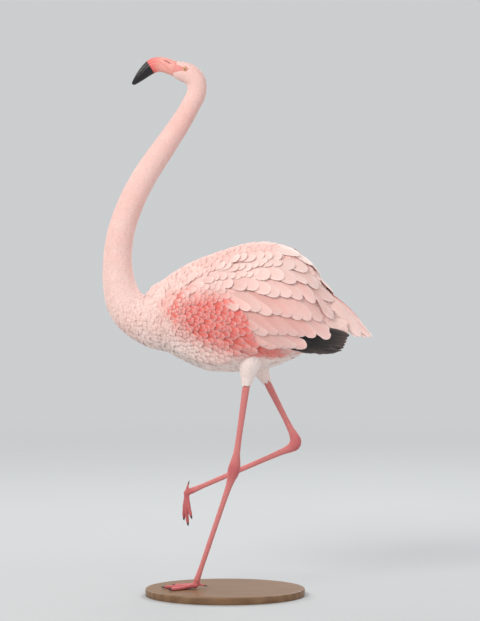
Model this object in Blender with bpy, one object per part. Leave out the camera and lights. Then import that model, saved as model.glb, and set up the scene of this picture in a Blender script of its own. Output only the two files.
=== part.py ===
"""A life-size greater flamingo at rest on its left leg, on a plain display base.

The bird looks towards -X, its left side faces -Y and +Z is up. The origin is the
middle of the base's underside. Lengths are in metres and angles in degrees.
"""

import math
from typing import NamedTuple

import bmesh
import bpy
from mathutils import Matrix, Vector
from mathutils.bvhtree import BVHTree

# ------------------------------------------------------------- driving sizes
GAP = 0.0003  # the thin cut that parts neighbouring pieces

BASE_LENGTH = 0.430
BASE_WIDTH = 0.300
BASE_THICKNESS = 0.020
BASE_BEVEL = 0.004

TARSUS_LENGTH = 0.330
STANDING_SHANK_LENGTH = 0.285  # what shows below the belly
RAISED_SHANK_LENGTH = 0.246
STANDING_FOOT = Vector((-0.080, -0.012, BASE_THICKNESS + 0.0105))
STANDING_TARSUS_LEAN = 18.5  # the hock stands behind the foot
STANDING_SHANK_LEAN = 8.0
RAISED_HIP = Vector((0.088, 0.046, 0.622))
RAISED_SHANK_LEAN = 26.7  # back from straight down
RAISED_TARSUS_DROP = 23.5  # below level, pointing forward
RAISED_FOOT_TURN = 35.0  # how far the hanging foot's front turns to the left
HOCK_ROUNDING = 0.026  # where the leg's line leaves each side of the joint

SOLE = BASE_THICKNESS + GAP  # the level that the standing toes rest at
INNER_TOE, MIDDLE_TOE, OUTER_TOE, HIND_TOE = 0.064, 0.084, 0.075, 0.015
CLAW_LENGTH = 0.009
WEB_THICKNESS = 0.0022

EYE_RADIUS = 0.0070
EYE_CENTRE = Vector((-0.1055, -0.0142, 1.4125))

AROUND_TRUNK, AROUND_NECK, AROUND_LEG, AROUND_TOE = 24, 16, 10, 8
SIDE = Vector((0, 1, 0))


class Section(NamedTuple):
    """One oval section: its centre, and its reach up the back, down the belly and to each side."""

    x: float
    y: float
    z: float
    up: float
    down: float
    side: float


def level(x, z, up, down, side):
    return Section(x, 0.0, z, up, down, side)


def even(x, z, half_depth, side):
    return Section(x, 0.0, z, half_depth, half_depth, side)


# The body's one line, from the tail's root forward and up the neck to the bill.
BODY = [
    level(0.300, 0.757, 0.018, 0.020, 0.016),  # tail root
    level(0.270, 0.764, 0.060, 0.062, 0.038),  # rump
    level(0.235, 0.766, 0.114, 0.098, 0.064),
    level(0.195, 0.767, 0.155, 0.122, 0.085),
    level(0.150, 0.768, 0.176, 0.142, 0.098),
    level(0.105, 0.768, 0.184, 0.154, 0.104),  # top of the back
    level(0.060, 0.768, 0.180, 0.160, 0.106),
    level(0.000, 0.769, 0.163, 0.163, 0.104),  # deepest belly
    level(-0.060, 0.769, 0.139, 0.158, 0.097),
    level(-0.110, 0.765, 0.115, 0.139, 0.086),  # shoulders
    level(-0.158, 0.758, 0.089, 0.110, 0.072),
    level(-0.202, 0.751, 0.073, 0.081, 0.059),  # breast
    even(-0.239, 0.759, 0.059, 0.050),  # foot of the neck
    even(-0.266, 0.787, 0.051, 0.043),
    even(-0.282, 0.833, 0.044, 0.038),
    even(-0.288, 0.890, 0.0390, 0.0345),
    even(-0.281, 0.965, 0.0360, 0.0325),
    even(-0.254, 1.050, 0.0340, 0.0310),
    even(-0.213, 1.130, 0.0325, 0.0295),
    even(-0.162, 1.206, 0.0300, 0.0270),
    even(-0.120, 1.268, 0.0270, 0.0240),
    even(-0.091, 1.318, 0.0250, 0.0222),
    level(-0.0755, 1.353, 0.0256, 0.0250, 0.0220),  # nape
    level(-0.0785, 1.381, 0.0272, 0.0252, 0.0228),
    level(-0.0965, 1.401, 0.0268, 0.0272, 0.0220),  # crown
    level(-0.116, 1.4088, 0.0240, 0.0262, 0.0194),
    level(-0.134, 1.4148, 0.0200, 0.0208, 0.0152),  # the bill's base
]
NECK_FOOT, NECK_LOW, NECK_HIGH, NAPE, BILL_BASE = 12, 16, 19.5, 22, 26


class BillSection(NamedTuple):
    """One section of the bill, in its own frame: forward, height, half depth, half width and the gape's level."""

    forward: float
    height: float
    half_depth: float
    side: float
    gape: float


BILL = [
    BillSection(0.000, 0.0000, 0.0200, 0.0150, -0.0130),
    BillSection(0.014, 0.0000, 0.0198, 0.0148, -0.0085),
    BillSection(0.028, -0.0002, 0.0196, 0.0146, -0.0015),
    BillSection(0.041, -0.0024, 0.0196, 0.0145, 0.0050),
    BillSection(0.053, -0.0080, 0.0194, 0.0142, 0.0082),
    BillSection(0.063, -0.0180, 0.0184, 0.0136, 0.0084),  # the bend
    BillSection(0.071, -0.0300, 0.0166, 0.0125, 0.0074),
    BillSection(0.078, -0.0430, 0.0141, 0.0109, 0.0058),
    BillSection(0.0845, -0.0560, 0.0108, 0.0088, 0.0042),
    BillSection(0.090, -0.0680, 0.0070, 0.0060, 0.0024),
    BillSection(0.0935, -0.0755, 0.0030, 0.0028, 0.0008),
]
UPPER_BILL_WIDTH = 0.90  # the upper half is a narrower lid on the lower one


class WingStation(NamedTuple):
    """One upright slice of the folded wing: its place, edges, least distance from the middle and inner depth."""

    x: float
    top: float
    bottom: float
    reach: float
    depth: float


WING = [
    WingStation(-0.172, 0.775, 0.712, 0.046, 0.018),
    WingStation(-0.132, 0.820, 0.660, 0.056, 0.022),
    WingStation(-0.070, 0.855, 0.631, 0.064, 0.024),
    WingStation(-0.010, 0.880, 0.625, 0.070, 0.024),
    WingStation(0.060, 0.896, 0.652, 0.078, 0.024),
    WingStation(0.130, 0.893, 0.663, 0.080, 0.024),
    WingStation(0.200, 0.858, 0.661, 0.073, 0.024),
    WingStation(0.265, 0.786, 0.654, 0.058, 0.018),
    WingStation(0.328, 0.715, 0.656, 0.042, 0.005),
]
WING_PARTING = 0.105  # where the coverts end and the quills begin
WING_EDGE, WING_CREST = 0.004, 0.014  # how far it stands off the body at its edges and middle
COVERT_LOBES, QUILL_LOBES, TAIL_LOBES = 4, 3, 4
COVERT_LOBE_DEPTH, QUILL_LOBE_DEPTH, TAIL_LOBE_DEPTH = 0.016, 0.020, 0.018

TAIL_ROOT = Vector((0.262, 0, 0.810))
TAIL_TIP = Vector((0.398, 0, 0.698))
TAIL_WIDTHS = (0.024, 0.040, 0.034)  # half width at the root, middle and tip
TAIL_ROOF = 0.010


# ------------------------------------------------------------------- shaping
def smooth_path(rows):
    """Returns a function of t, 0 at the first row and n - 1 at the last, on a smooth curve through the rows."""
    points = [tuple(row) for row in rows]
    last = len(points) - 1

    def distance(i):
        return max(1e-6, math.dist(points[i][:3], points[i + 1][:3]))

    def slope(i, k):
        if i == 0:
            return (points[1][k] - points[0][k]) / distance(0)
        if i == last:
            return (points[last][k] - points[last - 1][k]) / distance(last - 1)
        before, after = distance(i - 1), distance(i)
        rise_before = (points[i][k] - points[i - 1][k]) / before
        rise_after = (points[i + 1][k] - points[i][k]) / after
        return (rise_before * after + rise_after * before) / (before + after)

    def at(t):
        i = min(int(t), last - 1)
        f = t - i
        span = distance(i)
        h00 = (1 + 2 * f) * (1 - f) ** 2
        h10 = f * (1 - f) ** 2 * span
        h01 = f * f * (3 - 2 * f)
        h11 = f * f * (f - 1) * span
        return [
            h00 * points[i][k] + h10 * slope(i, k) + h01 * points[i + 1][k] + h11 * slope(i + 1, k)
            for k in range(len(points[0]))
        ]

    return at


def axes_at(at, t, last):
    """The section's centre, its direction of travel, and the directions to its side and up its back."""
    step = 0.01
    centre = Vector(at(t)[:3])
    ahead = Vector(at(min(t + step, last))[:3])
    behind = Vector(at(max(t - step, 0))[:3])
    travel = (ahead - behind).normalized()
    side = (SIDE - travel * SIDE.dot(travel)).normalized()
    return centre, travel, side, side.cross(travel)


def steps_between(start, end, count):
    return [start + (end - start) * i / count for i in range(count + 1)]


def new_object(name, mesh, material):
    obj = bpy.data.objects.new(name, mesh)
    bpy.context.scene.collection.objects.link(obj)
    if material:
        mesh.materials.append(material)
    mesh.shade_smooth()
    mesh.set_sharp_from_angle(angle=math.radians(50))
    return obj


def mesh_from_rings(name, rings):
    """A closed mesh from rings of points, each end shut by one flat face.

    The sides are split into triangles here, so that a grown copy is split alike and clears it all over.
    """
    shape = bmesh.new()
    made = [[shape.verts.new(point) for point in ring] for ring in rings]
    around = len(rings[0])
    for ring, following in zip(made, made[1:]):
        for k in range(around):
            n = (k + 1) % around
            shape.faces.new((ring[k], ring[n], following[n]))
            shape.faces.new((ring[k], following[n], following[k]))
    shape.faces.new(made[0])
    shape.faces.new(made[-1])
    bmesh.ops.recalc_face_normals(shape, faces=shape.faces)
    mesh = bpy.data.meshes.new(name)
    shape.to_mesh(mesh)
    shape.free()
    return mesh


def mesh_from_sheets(name, outer, inner):
    """A closed mesh from two grids of points that share their rims."""
    shape = bmesh.new()
    rows, columns = len(outer), len(outer[0])
    sheets = [[[shape.verts.new(point) for point in row] for row in sheet] for sheet in (outer, inner)]
    for sheet in sheets:
        for i in range(rows - 1):
            for j in range(columns - 1):
                shape.faces.new((sheet[i][j], sheet[i][j + 1], sheet[i + 1][j + 1], sheet[i + 1][j]))
    rim = [(0, j) for j in range(columns - 1)]
    rim += [(i, columns - 1) for i in range(rows - 1)]
    rim += [(rows - 1, j) for j in range(columns - 1, 0, -1)]
    rim += [(i, 0) for i in range(rows - 1, 0, -1)]
    for (i, j), (k, m) in zip(rim, rim[1:] + rim[:1]):
        shape.faces.new((sheets[0][i][j], sheets[0][k][m], sheets[1][k][m], sheets[1][i][j]))
    bmesh.ops.recalc_face_normals(shape, faces=shape.faces)
    mesh = bpy.data.meshes.new(name)
    shape.to_mesh(mesh)
    shape.free()
    return mesh


def tube_rings(sections, start, end, count, around, grow=0.0, floor=None):
    """Oval rings along the sections from start to end, both pulled in by half a gap, or grown all round."""
    at = smooth_path(sections)
    last = len(sections) - 1
    rings = []
    for i, t in enumerate(steps_between(start, end, count)):
        centre, travel, side, up = axes_at(at, t, last)
        if i in (0, count):
            outward = -1 if i == 0 else 1
            centre += travel * outward * (grow - GAP / 2)
        _, _, _, reach_up, reach_down, reach_side = at(t)
        ring = []
        for k in range(around):
            angle = 2 * math.pi * k / around
            rise = math.sin(angle)
            reach = reach_up if rise > 0 else reach_down
            point = centre + side * (reach_side + grow) * math.cos(angle) + up * (reach + grow) * rise
            if floor is not None:
                point.z = max(point.z, floor)
            ring.append(point)
        rings.append(ring)
    return rings


def tube(name, sections, start, end, count, around, material, grow=0.0, floor=None):
    rings = tube_rings(sections, start, end, count, around, grow, floor)
    return new_object(name, mesh_from_rings(name, rings), material)


def helper(obj):
    """Marks an object as a cutter or a source for a Boolean, and not as a part."""
    obj.hide_render = True
    obj.display_type = "WIRE"
    return obj


def carve(obj, cutter):
    cut = obj.modifiers.new("clear of " + cutter.name, "BOOLEAN")
    cut.operation = "DIFFERENCE"
    cut.solver = "EXACT"
    cut.object = cutter


def fuse(obj, other):
    join = obj.modifiers.new("with " + other.name, "BOOLEAN")
    join.operation = "UNION"
    join.solver = "EXACT"
    join.object = other


def finish(name, colour, roughness, metallic=0.0):
    material = bpy.data.materials.new(name)
    material.use_nodes = True
    shader = material.node_tree.nodes["Principled BSDF"]
    shader.inputs["Base Color"].default_value = (*colour, 1)
    shader.inputs["Roughness"].default_value = roughness
    shader.inputs["Metallic"].default_value = metallic
    return material


def mirrored(point):
    return Vector((point.x, -point.y, point.z))


# --------------------------------------------------------------------- parts
def make_base(finishes):
    shape = bmesh.new()
    bmesh.ops.create_cone(
        shape, cap_ends=True, segments=40, radius1=0.5, radius2=0.5, depth=BASE_THICKNESS
    )
    bmesh.ops.scale(shape, vec=(BASE_LENGTH, BASE_WIDTH, 1), verts=shape.verts)
    bmesh.ops.translate(shape, vec=(0, 0, BASE_THICKNESS / 2), verts=shape.verts)
    mesh = bpy.data.meshes.new("stand_base")
    shape.to_mesh(mesh)
    shape.free()
    base = new_object("stand_base", mesh, finishes["base"])
    bevel = base.modifiers.new("eased edge", "BEVEL")
    bevel.width = BASE_BEVEL
    bevel.segments = 2
    bevel.limit_method = "ANGLE"
    bevel.angle_limit = math.radians(60)


def make_body(finishes):
    """Trunk, three lengths of neck and the head, parted by thin cuts. Returns the trunk and its clearance."""
    white = finishes["plumage"]
    trunk = tube("trunk", BODY, 0, NECK_FOOT, 18, AROUND_TRUNK, white)
    tube("neck_lower", BODY, NECK_FOOT, NECK_LOW, 9, AROUND_NECK, white)
    tube("neck_middle", BODY, NECK_LOW, NECK_HIGH, 7, AROUND_NECK, white)
    tube("neck_upper", BODY, NECK_HIGH, NAPE, 6, AROUND_NECK, white)
    head = tube("head", BODY, NAPE, BILL_BASE, 9, 20, white)
    for place, centre in (("left", EYE_CENTRE), ("right", mirrored(EYE_CENTRE))):
        make_ball("eye_" + place, centre, EYE_RADIUS, finishes["eye"])
        carve(head, helper(make_ball("socket_" + place, centre, EYE_RADIUS + GAP, None)))
    clearance = helper(tube("trunk_clearance", BODY, 0, NECK_FOOT, 18, AROUND_TRUNK, None, grow=GAP))
    return trunk, clearance


def make_ball(name, centre, radius, material):
    shape = bmesh.new()
    bmesh.ops.create_icosphere(shape, subdivisions=2, radius=radius)
    bmesh.ops.translate(shape, vec=centre, verts=shape.verts)
    mesh = bpy.data.meshes.new(name)
    shape.to_mesh(mesh)
    shape.free()
    return new_object(name, mesh, material)


def bill_rings(upper, count=17, across=9):
    """Rings of one half of the bill: an arc of the oval section, shut by the flat line of the gape."""
    base = Vector(BODY[-1][:3])
    forward = (base - Vector(BODY[-2][:3])).normalized()
    rise = SIDE.cross(forward)
    line = [
        (*(base + forward * s.forward + rise * s.height), s.half_depth, s.side, s.gape) for s in BILL
    ]
    at = smooth_path(line)
    last = len(line) - 1
    rings = []
    for i, t in enumerate(steps_between(0, last, count)):
        centre, travel, side, up = axes_at(at, t, last)
        if i == 0:
            centre += travel * GAP / 2
        _, _, _, depth, width, gape = at(t)
        cut = gape + (GAP / 2 if upper else -GAP / 2)
        edge = math.asin(max(-0.95, min(0.95, cut / depth)))
        if upper:
            width *= UPPER_BILL_WIDTH
            start, sweep = edge, math.pi - 2 * edge
        else:
            start, sweep = math.pi - edge, math.pi + 2 * edge
        ring = []
        for k in range(across + 1):
            angle = start + sweep * k / across
            ring.append(centre + side * width * math.cos(angle) + up * depth * math.sin(angle))
        rings.append(ring)
    return rings


def make_bill(finishes):
    for name, upper in (("bill_upper", True), ("bill_lower", False)):
        new_object(name, mesh_from_rings(name, bill_rings(upper)), finishes["bill"])


def lobe(across, count):
    """1 at the tip of each of the rounded lobes and 0 in the notches between them; across runs from -1 to 1."""
    return abs(math.sin(math.pi * count * (across + 1) / 2)) ** 0.7


def flank(tree, x, z):
    """How far the trunk reaches sideways at this place, or 0 beyond its outline."""
    hit = tree.ray_cast(Vector((x, -1, z)), SIDE)[0]
    return -hit.y if hit else 0.0


def wing_sheets(tree, left, start, end, start_edge, end_edge, rows, columns):
    """The outer and inner grids of one length of the folded wing, from x = start to end with lobed edges."""
    at = smooth_path([(s.x, 0, 0, s.top, s.bottom, s.reach, s.depth) for s in WING])
    xs = [s.x for s in WING]
    mirror = -1 if left else 1

    def station_of(x):
        i = max(k for k in range(len(xs) - 1) if xs[k] <= x or k == 0)
        low, high = float(i), float(i + 1)
        for _ in range(24):
            middle = (low + high) / 2
            low, high = (middle, high) if at(middle)[0] < x else (low, middle)
        return low

    outer, inner = [], []
    for i in range(rows + 1):
        outer_row, inner_row = [], []
        for j in range(columns + 1):
            across = 2 * j / columns - 1
            first, final = start + start_edge(across), end + end_edge(across)
            x = first + (final - first) * i / rows
            _, _, _, top, bottom, reach, depth = at(station_of(x))
            z = (top + bottom) / 2 + (top - bottom) / 2 * across
            body = (flank(tree, x, z) ** 8 + reach**8) ** 0.125
            crest = WING_EDGE + (WING_CREST - WING_EDGE) * (1 - across**2)
            crest *= min(1.0, 0.35 + (x - xs[0]) / 0.06)
            outer_row.append(Vector((x, mirror * (body + crest), z)))
            inner_row.append(Vector((x, mirror * (body + crest - depth), z)))
        outer.append(outer_row)
        inner.append(inner_row)
    return outer, inner


def make_wing(place, trunk, clearance, finishes):
    """The near or far wing: the arm with its coverts, then the quills, parted by a lobed cut."""
    shape = bmesh.new()
    shape.from_mesh(trunk.data)
    tree = BVHTree.FromBMesh(shape)
    shape.free()
    left = place == "left"

    def straight(across):
        return 0.0

    def covert_edge(across):
        return COVERT_LOBE_DEPTH * (lobe(across, COVERT_LOBES) - 1)

    def quill_start(across):
        return covert_edge(across) + 2 * GAP

    def quill_edge(across):
        return QUILL_LOBE_DEPTH * (lobe(across, QUILL_LOBES) - 1)

    lengths = (
        ("coverts", WING[0].x, WING_PARTING, straight, covert_edge, "coverts"),
        ("quills", WING_PARTING, WING[-1].x, quill_start, quill_edge, "quills"),
    )
    for length, start, end, start_edge, end_edge, material in lengths:
        name = f"wing_{place}_{length}"
        sheets = wing_sheets(tree, left, start, end, start_edge, end_edge, 8, 12)
        wing = new_object(name, mesh_from_sheets(name, *sheets), finishes[material])
        carve(wing, clearance)


def make_tail(clearance, finishes):
    rows, columns = 6, 12
    length = (TAIL_TIP - TAIL_ROOT).length
    along = (TAIL_TIP - TAIL_ROOT).normalized()
    up = SIDE.cross(-along)
    width_at = smooth_path([(i, 0, 0, w) for i, w in enumerate(TAIL_WIDTHS)])
    top, under = [], []
    for i in range(rows + 1):
        top_row, under_row = [], []
        for j in range(columns + 1):
            across = 2 * j / columns - 1
            share = i / rows
            reach = length - TAIL_LOBE_DEPTH * (1 - lobe(across, TAIL_LOBES)) - 0.016 * across**2
            point = TAIL_ROOT + along * reach * share
            point = point + SIDE * width_at(2 * share)[3] * across
            point = point + up * (0.012 * math.sin(math.pi * share) - TAIL_ROOF * across**2)
            thickness = 0.018 * (1 - share) + 0.004
            top_row.append(point + up * thickness / 2)
            under_row.append(point - up * thickness / 2)
        top.append(top_row)
        under.append(under_row)
    tail = new_object("tail", mesh_from_sheets("tail", top, under), finishes["plumage"])
    carve(tail, clearance)


def leg_sections(hip, hock, toe_joint):
    """The sections of one leg from inside the body down to the toes, round the bend at the hock."""
    down_shank = (hock - hip).normalized()
    down_tarsus = (toe_joint - hock).normalized()
    shank = (hock - hip).length
    into_bend, out_of_bend = hock - down_shank * HOCK_ROUNDING, hock + down_tarsus * HOCK_ROUNDING

    def bend(f):
        return into_bend * (1 - f) ** 2 + hock * 2 * f * (1 - f) + out_of_bend * f * f

    places = [
        (hip - down_shank * 0.040, 0.0110, 0.0100),
        (hip, 0.0110, 0.0100),
        (hip + down_shank * 0.045, 0.0105, 0.0095),
        (hip + down_shank * shank * 0.45, 0.0088, 0.0080),
        (hip + down_shank * shank * 0.72, 0.0082, 0.0075),
        (into_bend - down_shank * 0.016, 0.0098, 0.0090),
        (into_bend, 0.0128, 0.0112),
        (bend(0.25), 0.0152, 0.0130),
        (bend(0.50), 0.0165, 0.0138),
        (bend(0.75), 0.0150, 0.0130),
        (out_of_bend, 0.0118, 0.0106),
        (out_of_bend + down_tarsus * 0.020, 0.0088, 0.0080),
        (hock + down_tarsus * TARSUS_LENGTH * 0.35, 0.0074, 0.0064),
        (hock + down_tarsus * TARSUS_LENGTH * 0.70, 0.0070, 0.0061),
        (hock + down_tarsus * (TARSUS_LENGTH - 0.026), 0.0076, 0.0068),
        (hock + down_tarsus * (TARSUS_LENGTH - 0.009), 0.0092, 0.0088),
    ]
    return [Section(*point, depth, depth, side) for point, depth, side in places]


THIGH_END, SHANK_END, HOCK_END, TARSUS_END = 2, 5, 11, 15  # places in leg_sections
THIGH_SIZES = ((0.020, 0.018), (0.026, 0.023), (0.0145, 0.0130))  # depth and side down the feathered thigh


def make_leg(place, hip, hock, toe_joint, clearance, finishes):
    sections = leg_sections(hip, hock, toe_joint)
    skin = finishes["leg"]
    tube("shank_" + place, sections, THIGH_END, SHANK_END, 5, AROUND_LEG, skin)
    tube("hock_" + place, sections, SHANK_END, HOCK_END, 10, 12, skin)
    tube("tarsus_" + place, sections, HOCK_END, TARSUS_END, 6, AROUND_LEG, skin)
    thigh_sections = [
        Section(s.x, s.y, s.z, depth, depth, side)
        for s, (depth, side) in zip(sections, THIGH_SIZES)
    ]
    thigh = tube("thigh_" + place, thigh_sections, 0, 2, 6, 12, finishes["plumage"])
    carve(thigh, clearance)
    socket = tube("ankle_socket_" + place, sections, HOCK_END, TARSUS_END, 6, AROUND_LEG, None, grow=GAP)
    return helper(socket)


def toe_line(joint, forward, up, spread, length, curl, drop, steps=6):
    """Points along one toe: it turns out by spread, falls by drop, and curls towards the sole."""
    heading = Matrix.Rotation(math.radians(spread), 3, up) @ forward
    points = [joint.copy()]
    for i in range(steps):
        share = (i + 0.5) / steps
        turn = math.radians(curl) * share
        fall = drop * (1 - share) * 2 / steps
        step = heading * math.cos(turn) - up * math.sin(turn)
        points.append(points[-1] + step * length / steps - up * fall)
    return points


TOE_RADII = (0.0074, 0.0058, 0.0050, 0.0056, 0.0046, 0.0050, 0.0036)  # knuckles and pads in turn


def toe_sections(points, scale=1.0):
    return [Section(*p, r * scale, r * scale, r * scale) for p, r in zip(points, TOE_RADII)]


def web_sheets(first, second, up, rows=5, columns=4):
    """The upper and under grids of the web between two toes, its front edge drawn back in a curve."""
    at_first, at_second = smooth_path([tuple(p) for p in first]), smooth_path([tuple(p) for p in second])
    last = len(first) - 1
    upper, under = [], []
    for i in range(rows + 1):
        share = 0.10 + 0.80 * i / rows
        upper_row, under_row = [], []
        for j in range(columns + 1):
            across = j / columns
            t = share * last * (1 - 0.20 * math.sin(math.pi * across) * i / rows)
            point = Vector(at_first(t)).lerp(Vector(at_second(t)), across) - up * 0.0010
            upper_row.append(point + up * WEB_THICKNESS / 2)
            under_row.append(point - up * WEB_THICKNESS / 2)
        upper.append(upper_row)
        under.append(under_row)
    return upper, under


def make_claw(name, sections, floor, finishes):
    """A short curved claw that carries on from the end of a toe."""
    tip, before = Vector(sections[-1][:3]), Vector(sections[-2][:3])
    ahead = (tip - before).normalized()
    size = sections[-1].side
    places = [
        Section(*(tip + ahead * CLAW_LENGTH * share), size * width, size * width, size * width)
        for share, width in ((0.0, 0.86), (0.45, 0.66), (1.0, 0.16))
    ]
    tube(name, places, 0, 2, 3, 6, finishes["claw"], floor=floor)


def make_foot(place, joint, forward, up, spread, curl, drop, floor, socket, finishes):
    """Three webbed front toes fused into one piece, a small hind toe, and a claw on each."""
    outward = 1 if place == "left" else -1
    skin = finishes["leg"]
    toes = {
        "inner": toe_line(joint, forward, up, -outward * spread, INNER_TOE, curl, drop),
        "middle": toe_line(joint, forward, up, 0, MIDDLE_TOE, curl, drop),
        "outer": toe_line(joint, forward, up, outward * spread, OUTER_TOE, curl, drop),
    }
    pieces = []
    for toe, points in toes.items():
        sections = toe_sections(points)
        make_claw(f"claw_{place}_{toe}", sections, floor, finishes)
        pieces.append(tube(f"toe_{place}_{toe}", sections, 0, 6, 7, AROUND_TOE, skin, floor=floor))
    for a, b in (("inner", "middle"), ("middle", "outer")):
        name = f"web_{place}_{a}_{b}"
        sheets = web_sheets(toes[a], toes[b], up)
        pieces.append(new_object(name, mesh_from_sheets(name, *sheets), skin))
    knuckle = make_ball(f"knuckle_{place}", joint, 0.0098, skin)
    foot = new_object(f"foot_{place}", knuckle.data.copy(), None)
    for piece in pieces:
        fuse(foot, helper(piece))
    helper(knuckle)
    carve(foot, socket)
    make_hind_toe(place, joint, forward, up, floor, finishes)


def make_hind_toe(place, joint, forward, up, floor, finishes):
    """The small fourth toe, set just above and behind the others."""
    root = joint - forward * 0.0102 + up * 0.0016
    line = [root - forward * HIND_TOE * share - up * 0.0035 * share for share in (0.0, 0.5, 1.0)]
    sizes = (0.0030, 0.0029, 0.0022)
    sections = [Section(*point, size, size, size) for point, size in zip(line, sizes)]
    tube(f"hind_toe_{place}", sections, 0, 2, 4, AROUND_TOE, finishes["leg"], floor=floor)
    make_claw(f"claw_{place}_hind", sections, floor, finishes)


def in_side_plane(lean, length):
    """A run of this length in the side view, leaning back from straight up by so many degrees."""
    angle = math.radians(lean)
    return Vector((math.sin(angle), 0, math.cos(angle))) * length


def make_standing_leg(clearance, finishes):
    foot = STANDING_FOOT
    hock = foot + in_side_plane(STANDING_TARSUS_LEAN, TARSUS_LENGTH) + Vector((0, -0.020, 0))
    hip = hock + in_side_plane(STANDING_SHANK_LEAN, STANDING_SHANK_LENGTH) + Vector((0, -0.016, 0))
    socket = make_leg("left", hip, hock, foot, clearance, finishes)
    make_foot(
        "left", foot, Vector((-1, 0, 0)), Vector((0, 0, 1)), 30, 0, 0.006, SOLE, socket, finishes
    )


def make_raised_leg(clearance, finishes):
    hip = RAISED_HIP
    hock = hip - in_side_plane(-RAISED_SHANK_LEAN, RAISED_SHANK_LENGTH) + Vector((0, 0.006, 0))
    foot = hock - in_side_plane(90 - RAISED_TARSUS_DROP, TARSUS_LENGTH) + Vector((0, 0.002, 0))
    socket = make_leg("right", hip, hock, foot, clearance, finishes)
    turn = Matrix.Rotation(math.radians(RAISED_FOOT_TURN), 3, "Z")
    hang = Vector((-0.10, 0, -1)).normalized()
    front = turn @ Vector((-1, 0, 0))
    front = (front - hang * front.dot(hang)).normalized()
    make_foot("right", foot, hang, front, 15, 16, 0.001, None, socket, finishes)


def main():
    for obj in list(bpy.data.objects):
        bpy.data.objects.remove(obj)
    finishes = {
        "base": finish("display base", (0.42, 0.33, 0.25), 0.55),
        "plumage": finish("pale plumage", (0.93, 0.72, 0.68), 0.75),
        "coverts": finish("coral coverts", (0.88, 0.25, 0.22), 0.70),
        "quills": finish("flight feathers", (0.80, 0.45, 0.42), 0.65),
        "bill": finish("bill", (0.90, 0.52, 0.48), 0.40),
        "eye": finish("eye", (0.90, 0.78, 0.35), 0.15),
        "leg": finish("bare leg skin", (0.88, 0.42, 0.42), 0.50),
        "claw": finish("claws", (0.12, 0.09, 0.09), 0.40),
    }
    make_base(finishes)
    trunk, clearance = make_body(finishes)
    make_bill(finishes)
    for place in ("left", "right"):
        make_wing(place, trunk, clearance, finishes)
    make_tail(clearance, finishes)
    make_standing_leg(clearance, finishes)
    make_raised_leg(clearance, finishes)


main()
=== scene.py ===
# %% [markdown]
# # A greater flamingo, feather by feather
#
# This lesson dresses a plain solid model of a flamingo until it looks like the bird. The real
# bird has a thin skin under a coat of overlapping feathers: velvet on the head, soft body
# feathers, coral coverts on the wing and long quills behind them. Its bill, eyes and legs are
# bare. We could comb particle hair over the solids, but hair is lost when a model is exported.
# So every feather here is a small closed mesh, grown in NumPy along the lie of the plumage.

# %% Load the solids
import math

import bpy
import numpy as np
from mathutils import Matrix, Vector
from mathutils.bvhtree import BVHTree


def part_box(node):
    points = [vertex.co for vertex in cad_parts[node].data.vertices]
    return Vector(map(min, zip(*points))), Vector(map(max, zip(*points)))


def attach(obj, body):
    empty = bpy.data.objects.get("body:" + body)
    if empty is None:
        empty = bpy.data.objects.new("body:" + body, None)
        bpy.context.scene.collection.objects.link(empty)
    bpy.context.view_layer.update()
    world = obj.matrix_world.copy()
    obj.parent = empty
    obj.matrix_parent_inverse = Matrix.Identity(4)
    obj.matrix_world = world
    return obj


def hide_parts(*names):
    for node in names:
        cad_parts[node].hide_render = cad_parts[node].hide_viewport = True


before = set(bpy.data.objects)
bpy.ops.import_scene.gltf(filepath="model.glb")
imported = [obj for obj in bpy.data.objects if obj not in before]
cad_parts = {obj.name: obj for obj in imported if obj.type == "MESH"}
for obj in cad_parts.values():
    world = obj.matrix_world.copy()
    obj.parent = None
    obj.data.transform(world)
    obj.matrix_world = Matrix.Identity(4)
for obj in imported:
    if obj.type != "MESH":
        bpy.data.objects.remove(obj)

chance = np.random.default_rng(26)
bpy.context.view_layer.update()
MM = 0.001

# %% [markdown]
# ## Small helpers for directions and blends
#
# A coat has tens of thousands of feathers, so we never handle one at a time. Each helper
# takes arrays whose last axis is x, y, z.

# %% Directions and blends
SIDEWAYS = np.array([0.0, 1.0, 0.0])  # from the bird's left to its right


def unit(vectors):
    """Vectors scaled to length one."""
    return vectors / np.maximum(np.linalg.norm(vectors, axis=-1, keepdims=True), 1e-12)


def dot(a, b):
    """The dot product along the last axis, kept as an axis."""
    return (a * b).sum(-1, keepdims=True)


def ease(low, high, value):
    """0 below low, 1 above high and a smooth rise between."""
    share = np.clip((value - low) / (high - low), 0, 1)
    return share * share * (3 - 2 * share)


def mix(a, b, share):
    """a at share 0, b at share 1, and a blend between."""
    return a + (b - a) * share


def run_along(points):
    """How far it is along a line to each of its points."""
    return np.concatenate([[0], np.cumsum(np.linalg.norm(np.diff(points, axis=0), axis=1))])


def drift(points, size):
    """A soft, random-looking wave from -1 to 1 that changes over about this size."""
    x, y, z = (points / size).T
    waves = np.sin(1.3 * x + 2.1 * z + 0.7) + np.sin(2.3 * y - 1.1 * x + 2.0)
    waves += np.sin(1.7 * z + 1.9 * y + 4.1) + np.sin(3.1 * x - 2.7 * z + 1.0) * 0.6
    return waves / 3.6


# %% [markdown]
# ## The body's line
#
# From tail root to bill, a flamingo is one long bent form. We describe it by a line with oval
# sections, each with its own reach up the back, down the belly and to the side. Sculpting
# would also give this shape, but a line tells us two more things that we need for every
# feather: which way is tailwards, and where on an unwrapped skin the feather grows.

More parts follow.
